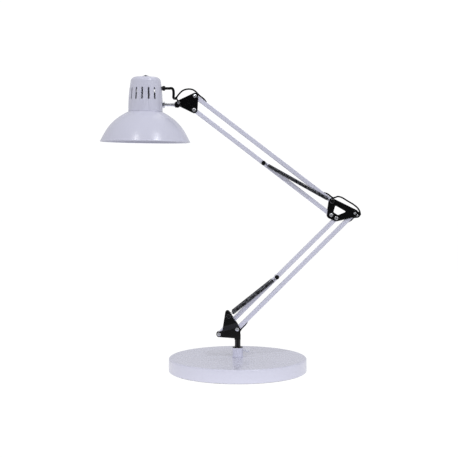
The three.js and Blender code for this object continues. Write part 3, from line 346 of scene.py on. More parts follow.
def coated(name, colour, gloss, cloud=0.04, peel=900.0, peel_depth=0.02, coat=0.0, dusty=0.12, worn=None,
           spread=0.06, cloud_size=18.0, shine=0.5):
    """A painted or moulded finish: a sprayed film, settled dust and, if worn is a colour, rubbed edges."""
    material, tree, shader = new_finish(name)
    skin = node(tree, "ShaderNodeGroup", {"node_tree": film}, Colour=(*colour, 1.0), Cloud=cloud,
                Cloud_Size=cloud_size, Peel_Size=peel, Gloss=gloss, Gloss_Spread=spread)
    tone = skin.outputs["Colour"]
    if worn:
        edge = node(tree, "ShaderNodeGroup", {"node_tree": rub})
        tone = laid_over(tree, edge.outputs["Mask"], tone, worn)
    settled = node(tree, "ShaderNodeGroup", {"node_tree": dust}, Amount=dusty)
    powdered = laid_over(tree, settled.outputs["Mask"], tone, HOUSE_DUST)
    tree.links.new(powdered, shader.inputs["Base Color"])
    dull = node(tree, "ShaderNodeMath", {"operation": "ADD", "use_clamp": True}, i0=skin.outputs["Roughness"],
                i1=settled.outputs["Mask"])
    tree.links.new(dull.outputs[0], shader.inputs["Roughness"])
    skin_bump = node(tree, "ShaderNodeBump", Strength=0.5, Distance=peel_depth * MM, Height=skin.outputs["Height"])
    tree.links.new(skin_bump.outputs["Normal"], shader.inputs["Normal"])
    shader.inputs["Specular IOR Level"].default_value = shine
    shader.inputs["Coat Weight"].default_value = coat
    shader.inputs["Coat Roughness"].default_value = 0.06
    return material


def dress(material, *names):
    """Gives CAD nodes a finish. Their shape stays as it is."""
    for name in names:
        slots = frame["nodes"][name].data.materials
        slots.clear()
        slots.append(material)


WHITE = (0.665, 0.665, 0.79)  # a cool white
white_enamel = coated("white_enamel", WHITE, 0.22, cloud=0.03, peel=450.0, peel_depth=0.003, coat=0.05, dusty=0.04)

BASE_R, BASE_TOP, BASE_EDGE, BASE_SHEET, BASE_HOLE = 127.0, 25.0, 3.5, 1.2, 7.3
corner = (BASE_R - BASE_EDGE, BASE_TOP - BASE_EDGE)
cover_profile = (
    [(BASE_HOLE, BASE_TOP)] + arc(corner, BASE_EDGE, 90, 0, 14)
    + [(BASE_R, 1.3)] + arc((BASE_R - 0.6, 1.2), 0.6, 0, -180, 8)
    + arc(corner, BASE_EDGE - BASE_SHEET, 0, 90, 8) + [(BASE_HOLE, BASE_TOP - BASE_SHEET)])
turned_piece("base_cover_enamelled", cover_profile, 256, "base", white_enamel, "base_cover")

cast_iron = coated("cast_iron", (0.055, 0.055, 0.06), 0.6, cloud=0.5, peel=320.0, peel_depth=0.25, dusty=0.2,
                   cloud_size=60.0)
foam = coated("black_foam", (0.018, 0.018, 0.019), 0.88, cloud=0.4, peel=1500.0, peel_depth=0.35, dusty=0.0)
dress(cast_iron, "base_ballast")
dress(foam, "base_pad")

# ---------------------------------------------------------------- cord gland
# A black nylon bush with a rounded flange, snapped into the side wall at the back. The mains cord would
# come out of it.
black_nylon = coated("black_nylon", (0.0025, 0.0025, 0.003), 0.36, cloud=0.25, peel=1400.0, peel_depth=0.03,
                     dusty=0.008, worn=(0.02, 0.02, 0.02), shine=0.35)
gland_low, gland_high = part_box("cord_gland")
gland_face = gland_high.y / MM
gland_profile = [(2.6, gland_low.y / MM), (4.2, gland_low.y / MM), (4.2, gland_face - 1.6), (5.6, gland_face - 1.6)]
gland_profile += arc((4.9, gland_face - 0.7), 0.7, 0, 90, 5) + arc((3.3, gland_face - 0.7), 0.7, 90, 180, 5)
gland_place = (Matrix.Translation((0, 0, (gland_low.z + gland_high.z) / 2))
               @ Matrix.Rotation(math.radians(-90), 4, "X"))
turned_piece("cord_gland_bush", gland_profile, 64, "base", black_nylon, "cord_gland", gland_place)

# ---------------------------------------------------------------- collar and thumbscrew
# The collar is a turned steel bush, enamelled with the base and held by a nut below. A white nylon
# thumbscrew goes in from the side and locks the post.
COLLAR_R, COLLAR_TOP, POST_R, LEAD_BORE_R = 9.65, 43.0, 5.3, 3.4
collar_profile = (
    [(LEAD_BORE_R, 11.4), (7.0, 11.4), (7.0, BASE_TOP + 0.3), (COLLAR_R, BASE_TOP + 0.3)]
    + arc((COLLAR_R - 0.8, COLLAR_TOP - 0.8), 0.8, 0, 90, 8)
    + [(POST_R + 0.5, COLLAR_TOP), (POST_R + 0.3, COLLAR_TOP - 0.2), (POST_R + 0.3, 22.7), (LEAD_BORE_R, 22.7)])
turned_piece("collar_enamelled", collar_profile, 96, "base", white_enamel, "collar")


# Zinc plate: bright, faintly yellow-blue, with fine brushing along one way and darker pores.
plate_group, plate_in, plate_out = shader_group(
    "zinc_plate", [("Colour", COLOUR, (0.6, 0.62, 0.64, 1)), ("Grain", FLOAT, 400.0)],
    [("Colour", COLOUR), ("Roughness", FLOAT), ("Height", FLOAT)])
zinc_place = node(plate_group, "ShaderNodeTexCoord").outputs["Object"]
zinc_squash = node(plate_group, "ShaderNodeMapping", Vector=zinc_place, Scale=(1.0, 0.15, 1.0))
zinc_grain = node(plate_group, "ShaderNodeTexNoise", Vector=zinc_squash.outputs[0],
                  Scale=plate_in.outputs["Grain"], Detail=4.0)
zinc_patch = node(plate_group, "ShaderNodeTexNoise", Vector=zinc_place, Scale=90.0, Detail=3.0)
zinc_hue = node(plate_group, "ShaderNodeHueSaturation", Color=plate_in.outputs["Colour"],
                Hue=0.5, Saturation=1.2)
zinc_value = node(plate_group, "ShaderNodeMapRange", Value=zinc_patch.outputs["Fac"], From_Min=0.3, From_Max=0.7,
                  To_Min=0.82, To_Max=1.12)
plate_group.links.new(zinc_value.outputs[0], zinc_hue.inputs["Value"])
zinc_rough = node(plate_group, "ShaderNodeMapRange", Value=zinc_grain.outputs["Fac"], From_Min=0.3, From_Max=0.7,
                  To_Min=0.2, To_Max=0.42)
plate_group.links.new(zinc_hue.outputs[0], plate_out.inputs["Colour"])
plate_group.links.new(zinc_rough.outputs[0], plate_out.inputs["Roughness"])
plate_group.links.new(zinc_grain.outputs["Fac"], plate_out.inputs["Height"])


def plated(name, colour, grain=420.0, depth=0.01, hollow_shade=(0.08, 0.08, 0.085), hollow_shade_start=0.5):
    """A plated or bare metal finish, with painted shade that darkens its hollows."""
    material, tree, shader = new_finish(name)
    shader.inputs["Metallic"].default_value = 1.0
    skin = node(tree, "ShaderNodeGroup", {"node_tree": plate_group}, Colour=(*colour, 1.0), Grain=grain)
    # Painted shade: where the surface curves inward, the colour is mixed towards the given dark tone.
    hollow = node(tree, "ShaderNodeMapRange", {"clamp": True},
                  Value=node(tree, "ShaderNodeNewGeometry").outputs["Pointiness"],
                  From_Min=hollow_shade_start - 0.12, From_Max=hollow_shade_start - 0.02, To_Min=0.8, To_Max=0.0)
    hollow_shaded = laid_over(tree, hollow.outputs[0], skin.outputs["Colour"], hollow_shade)
    tree.links.new(hollow_shaded, shader.inputs["Base Color"])
    tree.links.new(skin.outputs["Roughness"], shader.inputs["Roughness"])
    bump = node(tree, "ShaderNodeBump", Strength=0.4, Distance=depth * MM, Height=skin.outputs["Height"])
    tree.links.new(bump.outputs["Normal"], shader.inputs["Normal"])
    return material


# The darker tone given here is painted shade in the zinc's hollows.
zinc = plated("bright_zinc", (0.86, 0.87, 0.90), hollow_shade=(0.2, 0.2, 0.21))
dress(zinc, "collar_nut")

white_nylon = coated("white_nylon", (0.70, 0.705, 0.76), 0.33, cloud=0.03, peel=1300.0, peel_depth=0.02, dusty=0.05)
THUMB_Z, THUMB_START, THUMB_END, THUMB_R = 38.1, 14.5, 21.5, 4.0
SCREW_R = 2.0


def sideways(height):
    """A turned piece laid along X at this height, its own +Z towards +X."""
    return Matrix.Translation((0, 0, height * MM)) @ Matrix.Rotation(math.radians(90), 4, "Y")


def thread(first, second, start, pitch, count):
    """The profile of a cut thread, which goes between two radii."""
    return [point for i in range(count)
            for point in ((first, start + pitch * i), (second, start + pitch * i + pitch / 2))]


def knurled(turn, radius, along):
    """Eight flutes round the knob, and none on the screw."""
    if along < THUMB_START - 0.1 or radius < THUMB_R * 0.8:
        return radius
    return radius - 0.45 * max(0.0, math.cos(8 * turn)) ** 3


thumb_profile = [(0.0, POST_R + 0.3), (1.5, POST_R + 0.3), (SCREW_R, POST_R + 0.8)]
thumb_profile += thread(SCREW_R, SCREW_R - 0.25, 10.0, 0.5, 9)
thumb_profile += [(SCREW_R, THUMB_START), (THUMB_R - 0.5, THUMB_START), (THUMB_R, THUMB_START + 0.5)]
thumb_profile += arc((THUMB_R - 0.9, THUMB_END - 0.9), 0.9, 0, 90, 6)
thumb_profile += [(1.6, THUMB_END), (1.2, THUMB_END - 0.3), (0.0, THUMB_END - 0.3)]
turned_piece("thumbscrew_knob", thumb_profile, 96, "thumbscrew", white_nylon, "thumbscrew",
             sideways(THUMB_Z), flutes=knurled)

# ---------------------------------------------------------------- swivel post
# A turned steel post, painted black, with a flange that bears on the collar. The lead comes up its bore to a
# notch at the top, where the bracket's plates are fixed to its flats.
black_paint = coated("black_paint", (0.0014, 0.0014, 0.0018), 0.2, cloud=0.2, peel=1100.0, peel_depth=0.01,
                     dusty=0.004, worn=(0.02, 0.02, 0.023), shine=0.5)


def carve(piece_mesh, tool_mesh, how="DIFFERENCE"):
    """One mesh cut from, joined to or kept inside another, as a new mesh."""
    tool = new_object("tool", tool_mesh)
    result = applied(piece_mesh, ("BOOLEAN", {"operation": how, "solver": "EXACT", "object": tool}))
    bpy.data.objects.remove(tool)
    return result


def block(low, high, place=Matrix(), edge=0.0, steps=3):
    """A box in millimetres, with its edges rounded by edge."""
    build = bmesh.new()
    bmesh.ops.create_cube(build, size=1.0)
    size = [h - l for l, h in zip(low, high)]
    mid = [(h + l) / 2 for l, h in zip(low, high)]
    bmesh.ops.scale(build, vec=[s * MM for s in size], verts=build.verts)
    bmesh.ops.translate(build, vec=[m * MM for m in mid], verts=build.verts)
    if edge:
        bmesh.ops.bevel(build, geom=build.edges, offset=edge * MM, segments=steps, affect="EDGES", profile=0.5)
    bmesh.ops.transform(build, matrix=place, verts=build.verts)
    return as_mesh("block", build)


FLANGE_LOW, FLANGE_R = 43.3, 9.7
SLEEVE_LOW, SLEEVE_TOP, BLOCK_TOP, NOTCH_R = 44.9, 57.5, 68.5, 2.7
post_profile = (
    [(0.0, 23.0), (POST_R - 0.4, 23.0), (POST_R, 23.4), (POST_R, FLANGE_LOW), (FLANGE_R, FLANGE_LOW)]
    + arc((FLANGE_R - 0.5, FLANGE_LOW + 0.5), 0.5, 0, 90, 5)
    + arc((POST_R + 1.4, SLEEVE_LOW + 0.6), 1.2, 260, 180, 8)
    + [(POST_R, SLEEVE_LOW + 1.6), (POST_R, SLEEVE_TOP + 1.5), (0.0, SLEEVE_TOP + 1.5)])
post_mesh = carve(turned("post", post_profile, 96), block((-6.0, -4.1, SLEEVE_TOP), (5.5, 4.1, BLOCK_TOP),
                                                          edge=0.8), "UNION")
post_mesh = carve(post_mesh, turned("bore", round_bar(LEAD_BORE_R, 22.0, 70.0), 48))
post_mesh = carve(post_mesh, turned("notch", round_bar(NOTCH_R, 0.0, 8.0), 40, sideways(BLOCK_TOP)))
post_mesh.name = "swivel_post_turned"
new_piece("swivel_post_turned", smoothed(post_mesh), "swivel_bracket", black_paint, ["swivel_post"])

# ---------------------------------------------------------------- base bracket
# Two pressed plates, black painted. They hug the tubes low down and step out to two ears, each with a
# capped stub that holds the eye of a lower spring.


def belt(circles, step=7.0):
    """The outline of a belt pulled tight round circles (x, z, radius) given anticlockwise, in millimetres."""
    edges = []
    for i, (x, z, r) in enumerate(circles):
        nx, nz, nr = circles[(i + 1) % len(circles)]
        edges.append(math.atan2(nz - z, nx - x) - math.acos((r - nr) / math.hypot(nx - x, nz - z)))
    points = []
    for i, (x, z, r) in enumerate(circles):
        start, end = edges[i - 1], edges[i]
        while end < start:
            end += 2 * math.pi
        count = max(2, int(math.degrees(end - start) / step) + 1)
        points += arc((x, z), r, math.degrees(start), math.degrees(end), count)
    return points


def joined_outline(first, second, hub):
    """The outline round two convex outlines that overlap about the point hub."""
    def inside(p, shape):
        return all((x1 - x0) * (p[1] - z0) - (z1 - z0) * (p[0] - x0) >= -1e-6
                   for (x0, z0), (x1, z1) in zip(shape, shape[1:] + shape[:1]))
    points = [p for p in first if not inside(p, second)] + [p for p in second if not inside(p, first)]
    for a, b in zip(first, first[1:] + first[:1]):
        for c, d in zip(second, second[1:] + second[:1]):
            hit = intersect_line_line_2d(a, b, c, d)
            if hit:
                points.append((hit.x, hit.y))
    points.sort(key=lambda p: math.atan2(p[1] - hub[1], p[0] - hub[0]))
    return [p for p, q in zip(points, points[1:] + points[:1]) if math.dist(p, q) > 0.12]


def ring(x, z, radius, count=36):
    """A round hole's outline."""
    return arc((x, z), radius, 0, 360 - 360 / count, count - 1)


def about(spot, radius):
    """A circle (x, z, radius) about a place."""
    return spot.x, spot.z, radius


def pressed(name, outline, holes, y_low, y_high, edge=0.25):
    """A flat plate in the XZ plane from y_low to y_high, with holes and softly rounded edges."""
    curve = bpy.data.curves.new(name, "CURVE")
    curve.dimensions = "2D"
    curve.fill_mode = "BOTH"
    for points in [outline, *holes]:
        spline = curve.splines.new("POLY")
        spline.points.add(len(points) - 1)
        spline.use_cyclic_u = True
        for knot, (x, z) in zip(spline.points, points):
            knot.co = (x * MM, z * MM, 0.0, 1.0)
    curve.extrude = (y_high - y_low) / 2 * MM - edge * MM
    if edge:
        curve.bevel_depth = edge * MM
        curve.bevel_resolution = 2
        curve.offset = -edge * MM
    sketch = new_object(name, curve)
    graph = bpy.context.evaluated_depsgraph_get()
    mesh = bpy.data.meshes.new_from_object(sketch.evaluated_get(graph))
    bpy.data.objects.remove(sketch)
    upright = Matrix.Translation((0, (y_low + y_high) / 2 * MM, 0)) @ Matrix.Rotation(math.radians(90), 4, "X")
    build = bmesh.new()
    build.from_mesh(mesh)
    bmesh.ops.remove_doubles(build, verts=build.verts, dist=1e-7)
    bmesh.ops.transform(build, matrix=upright, verts=build.verts)
    bmesh.ops.recalc_face_normals(build, faces=build.faces)
    build.to_mesh(mesh)
    build.free()
    mesh.name = name
    return smoothed(mesh)


pivot = {j["name"]: Vector(j["pos_m"]) for j in frame["joints"] if "pos_m" in j}
front = pivot["lower_arm"] / MM
rear = pivot["lower_rear_link"] / MM
post = pivot["lower_spring_swing"] / MM
ear = Vector((front.x - 17.7, 0.0, front.z + 30.0))
PLATE_IN, PLATE_OUT, EAR_STEP = 4.4, 5.6, 2.4
FOLD_LOW, FOLD_HIGH = 3.9, 12.0
STUB_END = 16.6
link_up = Vector((-(front.z - rear.z), 0.0, front.x - rear.x)).normalized()
toe = (front.x - 0.6, front.z - 10.4, 6.3)
bracket_outline = joined_outline(
    belt([about(ear, 4.3), (front.x - 23.3, front.z - 3.0, 4.0), toe, about(front, 6.2)]),
    belt([about(front, 6.2), about(rear, 5.0), toe]), (front.x, front.z))

FOLD_BEND = 1.0
FOLD_CUTS = [spot + FOLD_BEND * k / 3 for spot in (FOLD_LOW, FOLD_HIGH) for k in range(-3, 4)]


def fold_rise(height):
    """How far out the plate stands at this height above the line of its pivots: a ramp, bent at both ends."""
    def bend(h):
        if abs(h) >= FOLD_BEND:
            return max(0.0, h)
        return (h + FOLD_BEND) ** 2 / (4 * FOLD_BEND)
    return EAR_STEP * (bend(height - FOLD_LOW) - bend(height - FOLD_HIGH)) / (FOLD_HIGH - FOLD_LOW)


def folded_plate(name, side):
    """A flat plate cut into strips, then bent out along two folds."""
    mesh = pressed(name, bracket_outline, [ring(*about(front, 2.3)), ring(*about(rear, 2.3))],
                   side * PLATE_IN if side > 0 else -PLATE_OUT, side * PLATE_OUT if side > 0 else -PLATE_IN)
    build = bmesh.new()
    build.from_mesh(mesh)
    for height in FOLD_CUTS:
        spot = (front + link_up * height) * MM
        bmesh.ops.bisect_plane(build, geom=build.verts[:] + build.edges[:] + build.faces[:], plane_co=spot,
                               plane_no=link_up)
    for vert in build.verts:
        height = (vert.co / MM - front).dot(link_up)
        vert.co.y += side * fold_rise(height) * MM
    build.to_mesh(mesh)
    build.free()
    return smoothed(mesh, 38.0)


def across(x, z):
    """A turned piece laid along Y through (x, z), its own +Z towards +Y."""
    return Matrix.Translation((x * MM, 0, z * MM)) @ Matrix.Rotation(math.radians(-90), 4, "X")


def capped_stub(x, z, start, end, side):
    """A stub that ends in a round cap; the spring's eye goes between it and the ear."""
    profile = [(0.0, start), (1.9, start), (1.9, end - 3.0), (3.2, end - 3.0)]
    profile += arc((2.4, end - 0.8), 0.8, 0, 90, 8) + [(0.9, end), (0.6, end - 0.25), (0.0, end - 0.25)]
    flip = Matrix() if side > 0 else Matrix.Rotation(math.radians(180), 4, "X")
    return turned("stub", profile, 64, across(x, z) @ flip)


def merged(name, *meshes):
    """Several meshes of one piece as one mesh."""
    build = bmesh.new()
    for mesh in meshes:
        build.from_mesh(mesh)
    return smoothed(as_mesh(name, build), 38.0)


for word, side in (("near", -1), ("far", 1)):
    plate = folded_plate(f"base_bracket_{word}_pressed", side)
    stub = capped_stub(post.x, post.z, PLATE_OUT + EAR_STEP - 0.5, STUB_END, side)
    new_piece(f"base_bracket_{word}_pressed", merged(f"base_bracket_{word}_pressed", plate, stub),
              "swivel_bracket", black_paint, [f"base_bracket_{word}"])

# ---------------------------------------------------------------- rivets
# Zinc-plated rivets through the brackets and the tubes' ends, and a small one through the cable clip. Each
# is set with a low dome at both ends, with a shallow ring pressed into it.


def rivet(node_name, body, head=3.4, shank=2.0):
    """A rivet along Y with a dome on both ends, as long as its CAD node."""
    low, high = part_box(node_name)
    reach = (high.y - low.y) / 2 / MM
    rise = 1.3
    side = [(shank, 0.0), (shank, reach - rise), (head, reach - rise), (head, reach - rise + 0.35)]
    side += arc((head - 0.5, reach - rise + 0.35), 0.5, 0, 60, 4)
    side += [(head * 0.68, reach - 0.22), (head * 0.6, reach - 0.3), (head * 0.5, reach - 0.12),
             (head * 0.3, reach - 0.02), (0.0, reach)]
    profile = [(r, -z) for r, z in reversed(side[1:])] + side[1:]
    spot = (low + high) / 2 / MM
    turned_piece(f"{node_name}_domed", profile, 48, body, zinc, node_name, across(spot.x, spot.z), False)


for node_name, body, *radii in (
        ("base_front_rivet", "swivel_bracket"), ("base_rear_rivet", "swivel_bracket"),
        ("elbow_rear_rivet", "elbow_bracket"), ("elbow_low_rivet", "elbow_bracket"),
        ("cable_clip_rivet", "elbow_bracket", 1.8, 1.0),
        ("head_low_rivet", "head_bracket"), ("head_top_rivet", "head_bracket")):
    rivet(node_name, body, *radii)

# ---------------------------------------------------------------- arm tubes
# Four lengths of 8 mm square steel tube with softly rounded corners, enamelled white. Their ends are
# rounded to clear the brackets, and slots in one face of the two outer tubes let the lead in and out.
BAR, WALL, LEAD_WIDE = 8.0, 0.9, 4.8


def square_tube(name, start, end, holes, slots, body, replaced):
    """A tube from pivot to pivot. holes are (distance, radius); slots are (from, to) in its lower face."""
    length = (end - start).length
    half = BAR / 2
    stock = block((-half, -half, -half), (length + half, half, half))
    build = bmesh.new()
    build.from_mesh(stock)
    long_edges = [e for e in build.edges if abs((e.verts[0].co - e.verts[1].co).x) > length * MM / 2]
    bmesh.ops.bevel(build, geom=long_edges, offset=1.1 * MM, segments=4, affect="EDGES", profile=0.5)
    build.to_mesh(stock)
    build.free()
    cross_holes = [ring(at, 0.0, radius + 0.3, 32) for at, radius in holes]
    tube = carve(stock, pressed("ends", belt([(0.0, 0.0, half), (length, 0.0, half)], 6.0), cross_holes,
                                -half - 1, half + 1, 0), "INTERSECT")
    inner = half - WALL
    tube = carve(tube, block((-half - 1, -inner, -inner), (length + half + 1, inner, inner)))
    for low, high in slots:
        side = LEAD_WIDE / 2 + 0.3
        tube = carve(tube, block((low, -side, -half - 1), (high, side, -half + WALL + 0.4), edge=0.4))
    rise = math.atan2(end.z - start.z, end.x - start.x)
    tube.transform(Matrix.Translation(start * MM) @ Matrix.Rotation(-rise, 4, "Y"))
    tube.name = name
    return new_piece(name, smoothed(tube), body, white_enamel, [replaced])


def middle(node_name):
    """The middle of a CAD node's box, in millimetres."""
    low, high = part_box(node_name)
    return (low + high) / 2 / MM


elbow_front = pivot["elbow_level"] / MM
elbow_top = pivot["upper_arm"] / MM
elbow_low = pivot["upper_low_link"] / MM
head_top = pivot["head_level"] / MM
tilt = pivot["head_tilt"] / MM
elbow_rear = middle("elbow_rear_rivet")
head_low = middle("head_low_rivet")
lower_pin = middle("lower_spring_pin")
upper_pin = middle("upper_spring_pin")
lower_long, upper_long = (elbow_front - front).length, (head_top - elbow_top).length
square_tube("lower_front_bar_tube", front, elbow_front, [(0, 2.0), (lower_long, 2.2)],
            [(-4.0, 30.0), (lower_long - 30, lower_long - 4.5)], "lower_front_bar", "lower_front_tube")
square_tube("lower_rear_bar_tube", rear, elbow_rear,
            [(0, 2.0), ((lower_pin - rear).length, 1.9), (lower_long, 2.0)], [], "lower_rear_bar",
            "lower_rear_tube")
square_tube("upper_top_bar_tube", elbow_top, head_top, [(0, 1.9), (upper_long, 2.0)],
            [(4.5, 30.0), (upper_long - 30, upper_long - 4.5)], "upper_top_bar", "upper_top_tube")
square_tube("upper_low_bar_tube", elbow_low, head_low,
            [(0, 2.0), ((upper_pin - elbow_low).length, 1.9), (upper_long, 2.0)], [], "upper_low_bar",
            "upper_low_tube")

# ---------------------------------------------------------------- spring pins
# Round pins through the tubes and the elbow. A black moulded cap pushed on each end keeps the spring's
# eye on its washer.


def capped_pin(name, at, node_name, body, finish):
    """A pin along Y with a cap and a washer at each end, as long as its CAD node."""
    half = (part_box(node_name)[1].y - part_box(node_name)[0].y) / 2 / MM
    inner = half - 3.0
    side = [(1.9, 0.0), (1.9, inner - 0.5), (3.1, inner - 0.5), (3.1, inner), (3.6, inner)]
    side += arc((2.6, half - 1.0), 1.0, 0, 90, 8) + [(1.0, half), (0.8, half - 0.2), (0.0, half - 0.2)]
    profile = [(r, -y) for r, y in reversed(side[1:])] + side[1:]
    turned_piece(name, profile, 48, body, finish, node_name, across(at.x, at.z), False)


capped_pin("lower_spring_pin_capped", lower_pin, "lower_spring_pin", "lower_rear_bar", black_nylon)
capped_pin("upper_spring_pin_capped", upper_pin, "upper_spring_pin", "upper_low_bar", black_nylon)
capped_pin("elbow_top_pin_capped", elbow_top, "elbow_top_pin", "elbow_bracket", black_paint)

# ---------------------------------------------------------------- springs
# Four close-wound tension springs of blackened 1.2 mm spring steel, a pair for each arm. Each end of the
# wire is turned into an eye that goes round a pin.
WIRE, COIL_MEAN, EYE_MEAN, EYE_INSET = 1.2, 2.9, 3.6, 9.0


def blackened_steel(name):
    """Oil-blackened wire, rubbed to bare grey in streaks."""
    material, tree, shader = new_finish(name)
    shader.inputs["Metallic"].default_value = 1.0
    place = node(tree, "ShaderNodeTexCoord").outputs["Object"]
    streak = node(tree, "ShaderNodeTexNoise", Vector=place, Scale=230.0, Detail=4.0, Roughness=0.65)
    ramp = node(tree, "ShaderNodeValToRGB", Fac=streak.outputs["Fac"])
    ramp.color_ramp.elements[0].position = 0.38
    ramp.color_ramp.elements[0].color = (0.012, 0.012, 0.015, 1)
    ramp.color_ramp.elements[1].position = 0.72
    ramp.color_ramp.elements[1].color = (0.30, 0.305, 0.34, 1)
    tree.links.new(ramp.outputs["Color"], shader.inputs["Base Color"])
    oil = node(tree, "ShaderNodeMapRange", Value=streak.outputs["Fac"], From_Min=0.3, From_Max=0.7, To_Min=0.24,
               To_Max=0.42)
    tree.links.new(oil.outputs[0], shader.inputs["Roughness"])
    pitting = node(tree, "ShaderNodeTexNoise", Vector=place, Scale=2600.0, Detail=2.0)
    bump = node(tree, "ShaderNodeBump", Strength=0.3, Distance=0.01 * MM, Height=pitting.outputs["Fac"])
    tree.links.new(bump.outputs["Normal"], shader.inputs["Normal"])
    return material


spring_steel = blackened_steel("blackened_spring_steel")


def swept(name, path, section, wide, twist=()):
    """A closed bar along path. section holds (across, up) pairs; across is near wide, turned by twist degrees."""
    build = bmesh.new()
    rings = []
    for i, spot in enumerate(path):
        ahead = (path[min(i + 1, len(path) - 1)] - path[max(i - 1, 0)]).normalized()
        if wide is None:
            if i == 0:
                side = ahead.orthogonal().normalized()
            else:
                side = (side - ahead * side.dot(ahead)).normalized()
        else:
            side = (wide - ahead * wide.dot(ahead)).normalized()
        up = ahead.cross(side)
        if twist:
            c, t = math.cos(math.radians(twist[i])), math.sin(math.radians(twist[i]))
            rings.append([build.verts.new((spot + side * (a * c - b * t) + up * (a * t + b * c)) * MM)
                          for a, b in section])
            continue
        rings.append([build.verts.new((spot + side * a + up * b) * MM) for a, b in section])
    for low, high in zip(rings, rings[1:]):
        for i in range(len(section)):
            k = (i + 1) % len(section)
            build.faces.new((low[i], low[k], high[k], high[i]))
    build.faces.new(rings[0])
    build.faces.new(rings[-1])
    bmesh.ops.recalc_face_normals(build, faces=build.faces)
    mesh = as_mesh(name, build)
    mesh.shade_smooth()
    mesh.set_sharp_from_angle(angle=math.radians(50))
    return mesh


def bending_piece(name, mesh, material, replaced):
    """A finished piece that stays in the lamp's frame and rides on no body."""
    piece = new_object(name, mesh)
    mesh.materials.append(material)
    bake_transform(piece)
    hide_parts(*replaced)


def tension_spring(name, start, end, replaced):
    """A spring from start to end: eye, neck, close coils, neck and eye, all of one wire."""
    run = end - start
    length = run.length
    u = run.normalized()
    v = (Vector((0, 1, 0)) - u * u.y).normalized().cross(u)
    w = u.cross(v)

    def spot(along_run, up, across_run):
        return start + u * along_run + v * up + w * across_run

    neck = [spot(x, z, 0.0) for x, z in [(r * math.cos(t), r * math.sin(t)) for r, t in
            [(EYE_MEAN, math.radians(20 + 305 * i / 30)) for i in range(31)]]]
    neck += [spot(4.6, -1.35, 0.0), spot(5.6, -0.5, 0.0), spot(6.6, 0.0, 0.0), spot(7.6, 0.0, 0.0)]
    body_start, body_end = EYE_INSET, length - EYE_INSET
    turns = round((body_end - body_start) / (WIRE * 1.16))
    steps = turns * 18
    coil = []
    for i in range(steps + 1):
        share = i / steps
        turn = 2 * math.pi * turns * share
        ends = min(1.0, i / 9, (steps - i) / 9)
        radius = COIL_MEAN * math.sin(math.pi / 2 * ends)
        coil.append(spot(body_start + (body_end - body_start) * share, radius * math.sin(turn),
                         radius * math.cos(turn)))
    tail = [end - (p - start) for p in reversed(neck)]
    section = arc((0, 0), WIRE / 2, 0, 315, 7)
    bending_piece(name, swept(name, neck + coil[1:-1] + tail, section, None),
                  spring_steel, replaced)


POST_Y, LOWER_PIN_Y, UPPER_Y = 12.1, 8.1, 9.7
for word, side in (("near", -1), ("far", 1)):
    tension_spring(f"lower_spring_{word}", Vector((post.x, side * POST_Y, post.z)),
                   Vector((lower_pin.x, side * LOWER_PIN_Y, lower_pin.z)),
                   [f"lower_spring_{word}_coil", f"lower_spring_{word}_hook"])
    tension_spring(f"upper_spring_{word}", Vector((elbow_top.x, side * UPPER_Y, elbow_top.z)),
                   Vector((upper_pin.x, side * UPPER_Y, upper_pin.z)),
                   [f"upper_spring_{word}_coil", f"upper_spring_{word}_hook"])

# ---------------------------------------------------------------- elbow bracket
# Two flat black plates with a window pressed out, held apart by the tubes between them. The small rivet
# at the nose closes the clip that the lead passes under.
to_elbow = (elbow_front.x, elbow_front.z)
clip = (to_elbow[0] + 4.8, to_elbow[1] - 3.8)
elbow_outline = joined_outline(
    belt([(*to_elbow, 7.0), about(elbow_top, 5.8), about(elbow_low, 7.6), about(elbow_rear, 5.8)]),
    belt([(*to_elbow, 6.2), (*clip, 2.6), (to_elbow[0] + 9.2, to_elbow[1] - 1.6, 2.6)]), to_elbow)
elbow_window = belt([(to_elbow[0] + x, to_elbow[1] + z, r) for x, z, r in
                     [(-34.4, 12, 1.5), (-37, 2.6, 1.5), (-29.6, -2, 1.6), (-17.6, 2.6, 1.4)]], 15.0)
elbow_holes = [elbow_window, ring(*to_elbow, 2.5), ring(*about(elbow_top, 2.2)), ring(*about(elbow_low, 2.3)),
               ring(*about(elbow_rear, 2.3)), ring(*clip, 1.3, 20)]


def plate_pair(prefix, outline, holes, body):
    """A near and a far flat plate, alike."""
    for word, low in (("near", -PLATE_OUT), ("far", PLATE_IN)):
        name = f"{prefix}_{word}_pressed"
        new_piece(name, pressed(name, outline, holes, low, low + PLATE_OUT - PLATE_IN), body, black_paint,
                  [f"{prefix}_{word}"])


plate_pair("elbow_plate", elbow_outline, elbow_holes, "elbow_bracket")

# ---------------------------------------------------------------- clamping bolts and wing nuts
# Zinc-plated bolts clamp the elbow and the head. On the near side each carries a moulded black wing nut,
# and the bolt's bright end stands out of it.
WING_FACE, BOLT_R = -5.9, 2.2


def dome(radius, base, rise):
    """The profile of a dome that stands on a circle of this radius, up to its peak."""
    turns = [math.radians(t) for t in range(10, 90, 10)]
    return [(radius * math.cos(t), base + rise * math.sin(t)) for t in turns] + [(0.0, base + rise)]


def clamp_bolt(name, at, body, replaced):
    """A bolt along Y with a domed head on the far side and a thread on the near side."""
    profile = [(0.0, -11.1), (1.6, -11.1), (1.9, -10.9)] + thread(1.95, BOLT_R, -10.8, 0.6, 10)
    profile += [(BOLT_R, -4.2), (BOLT_R, 5.9), (3.5, 5.9), (3.5, 6.4)]
    profile += dome(3.5, 6.4, 2.1)
    turned_piece(name, profile, 48, body, zinc, replaced, across(at.x, at.z), False)


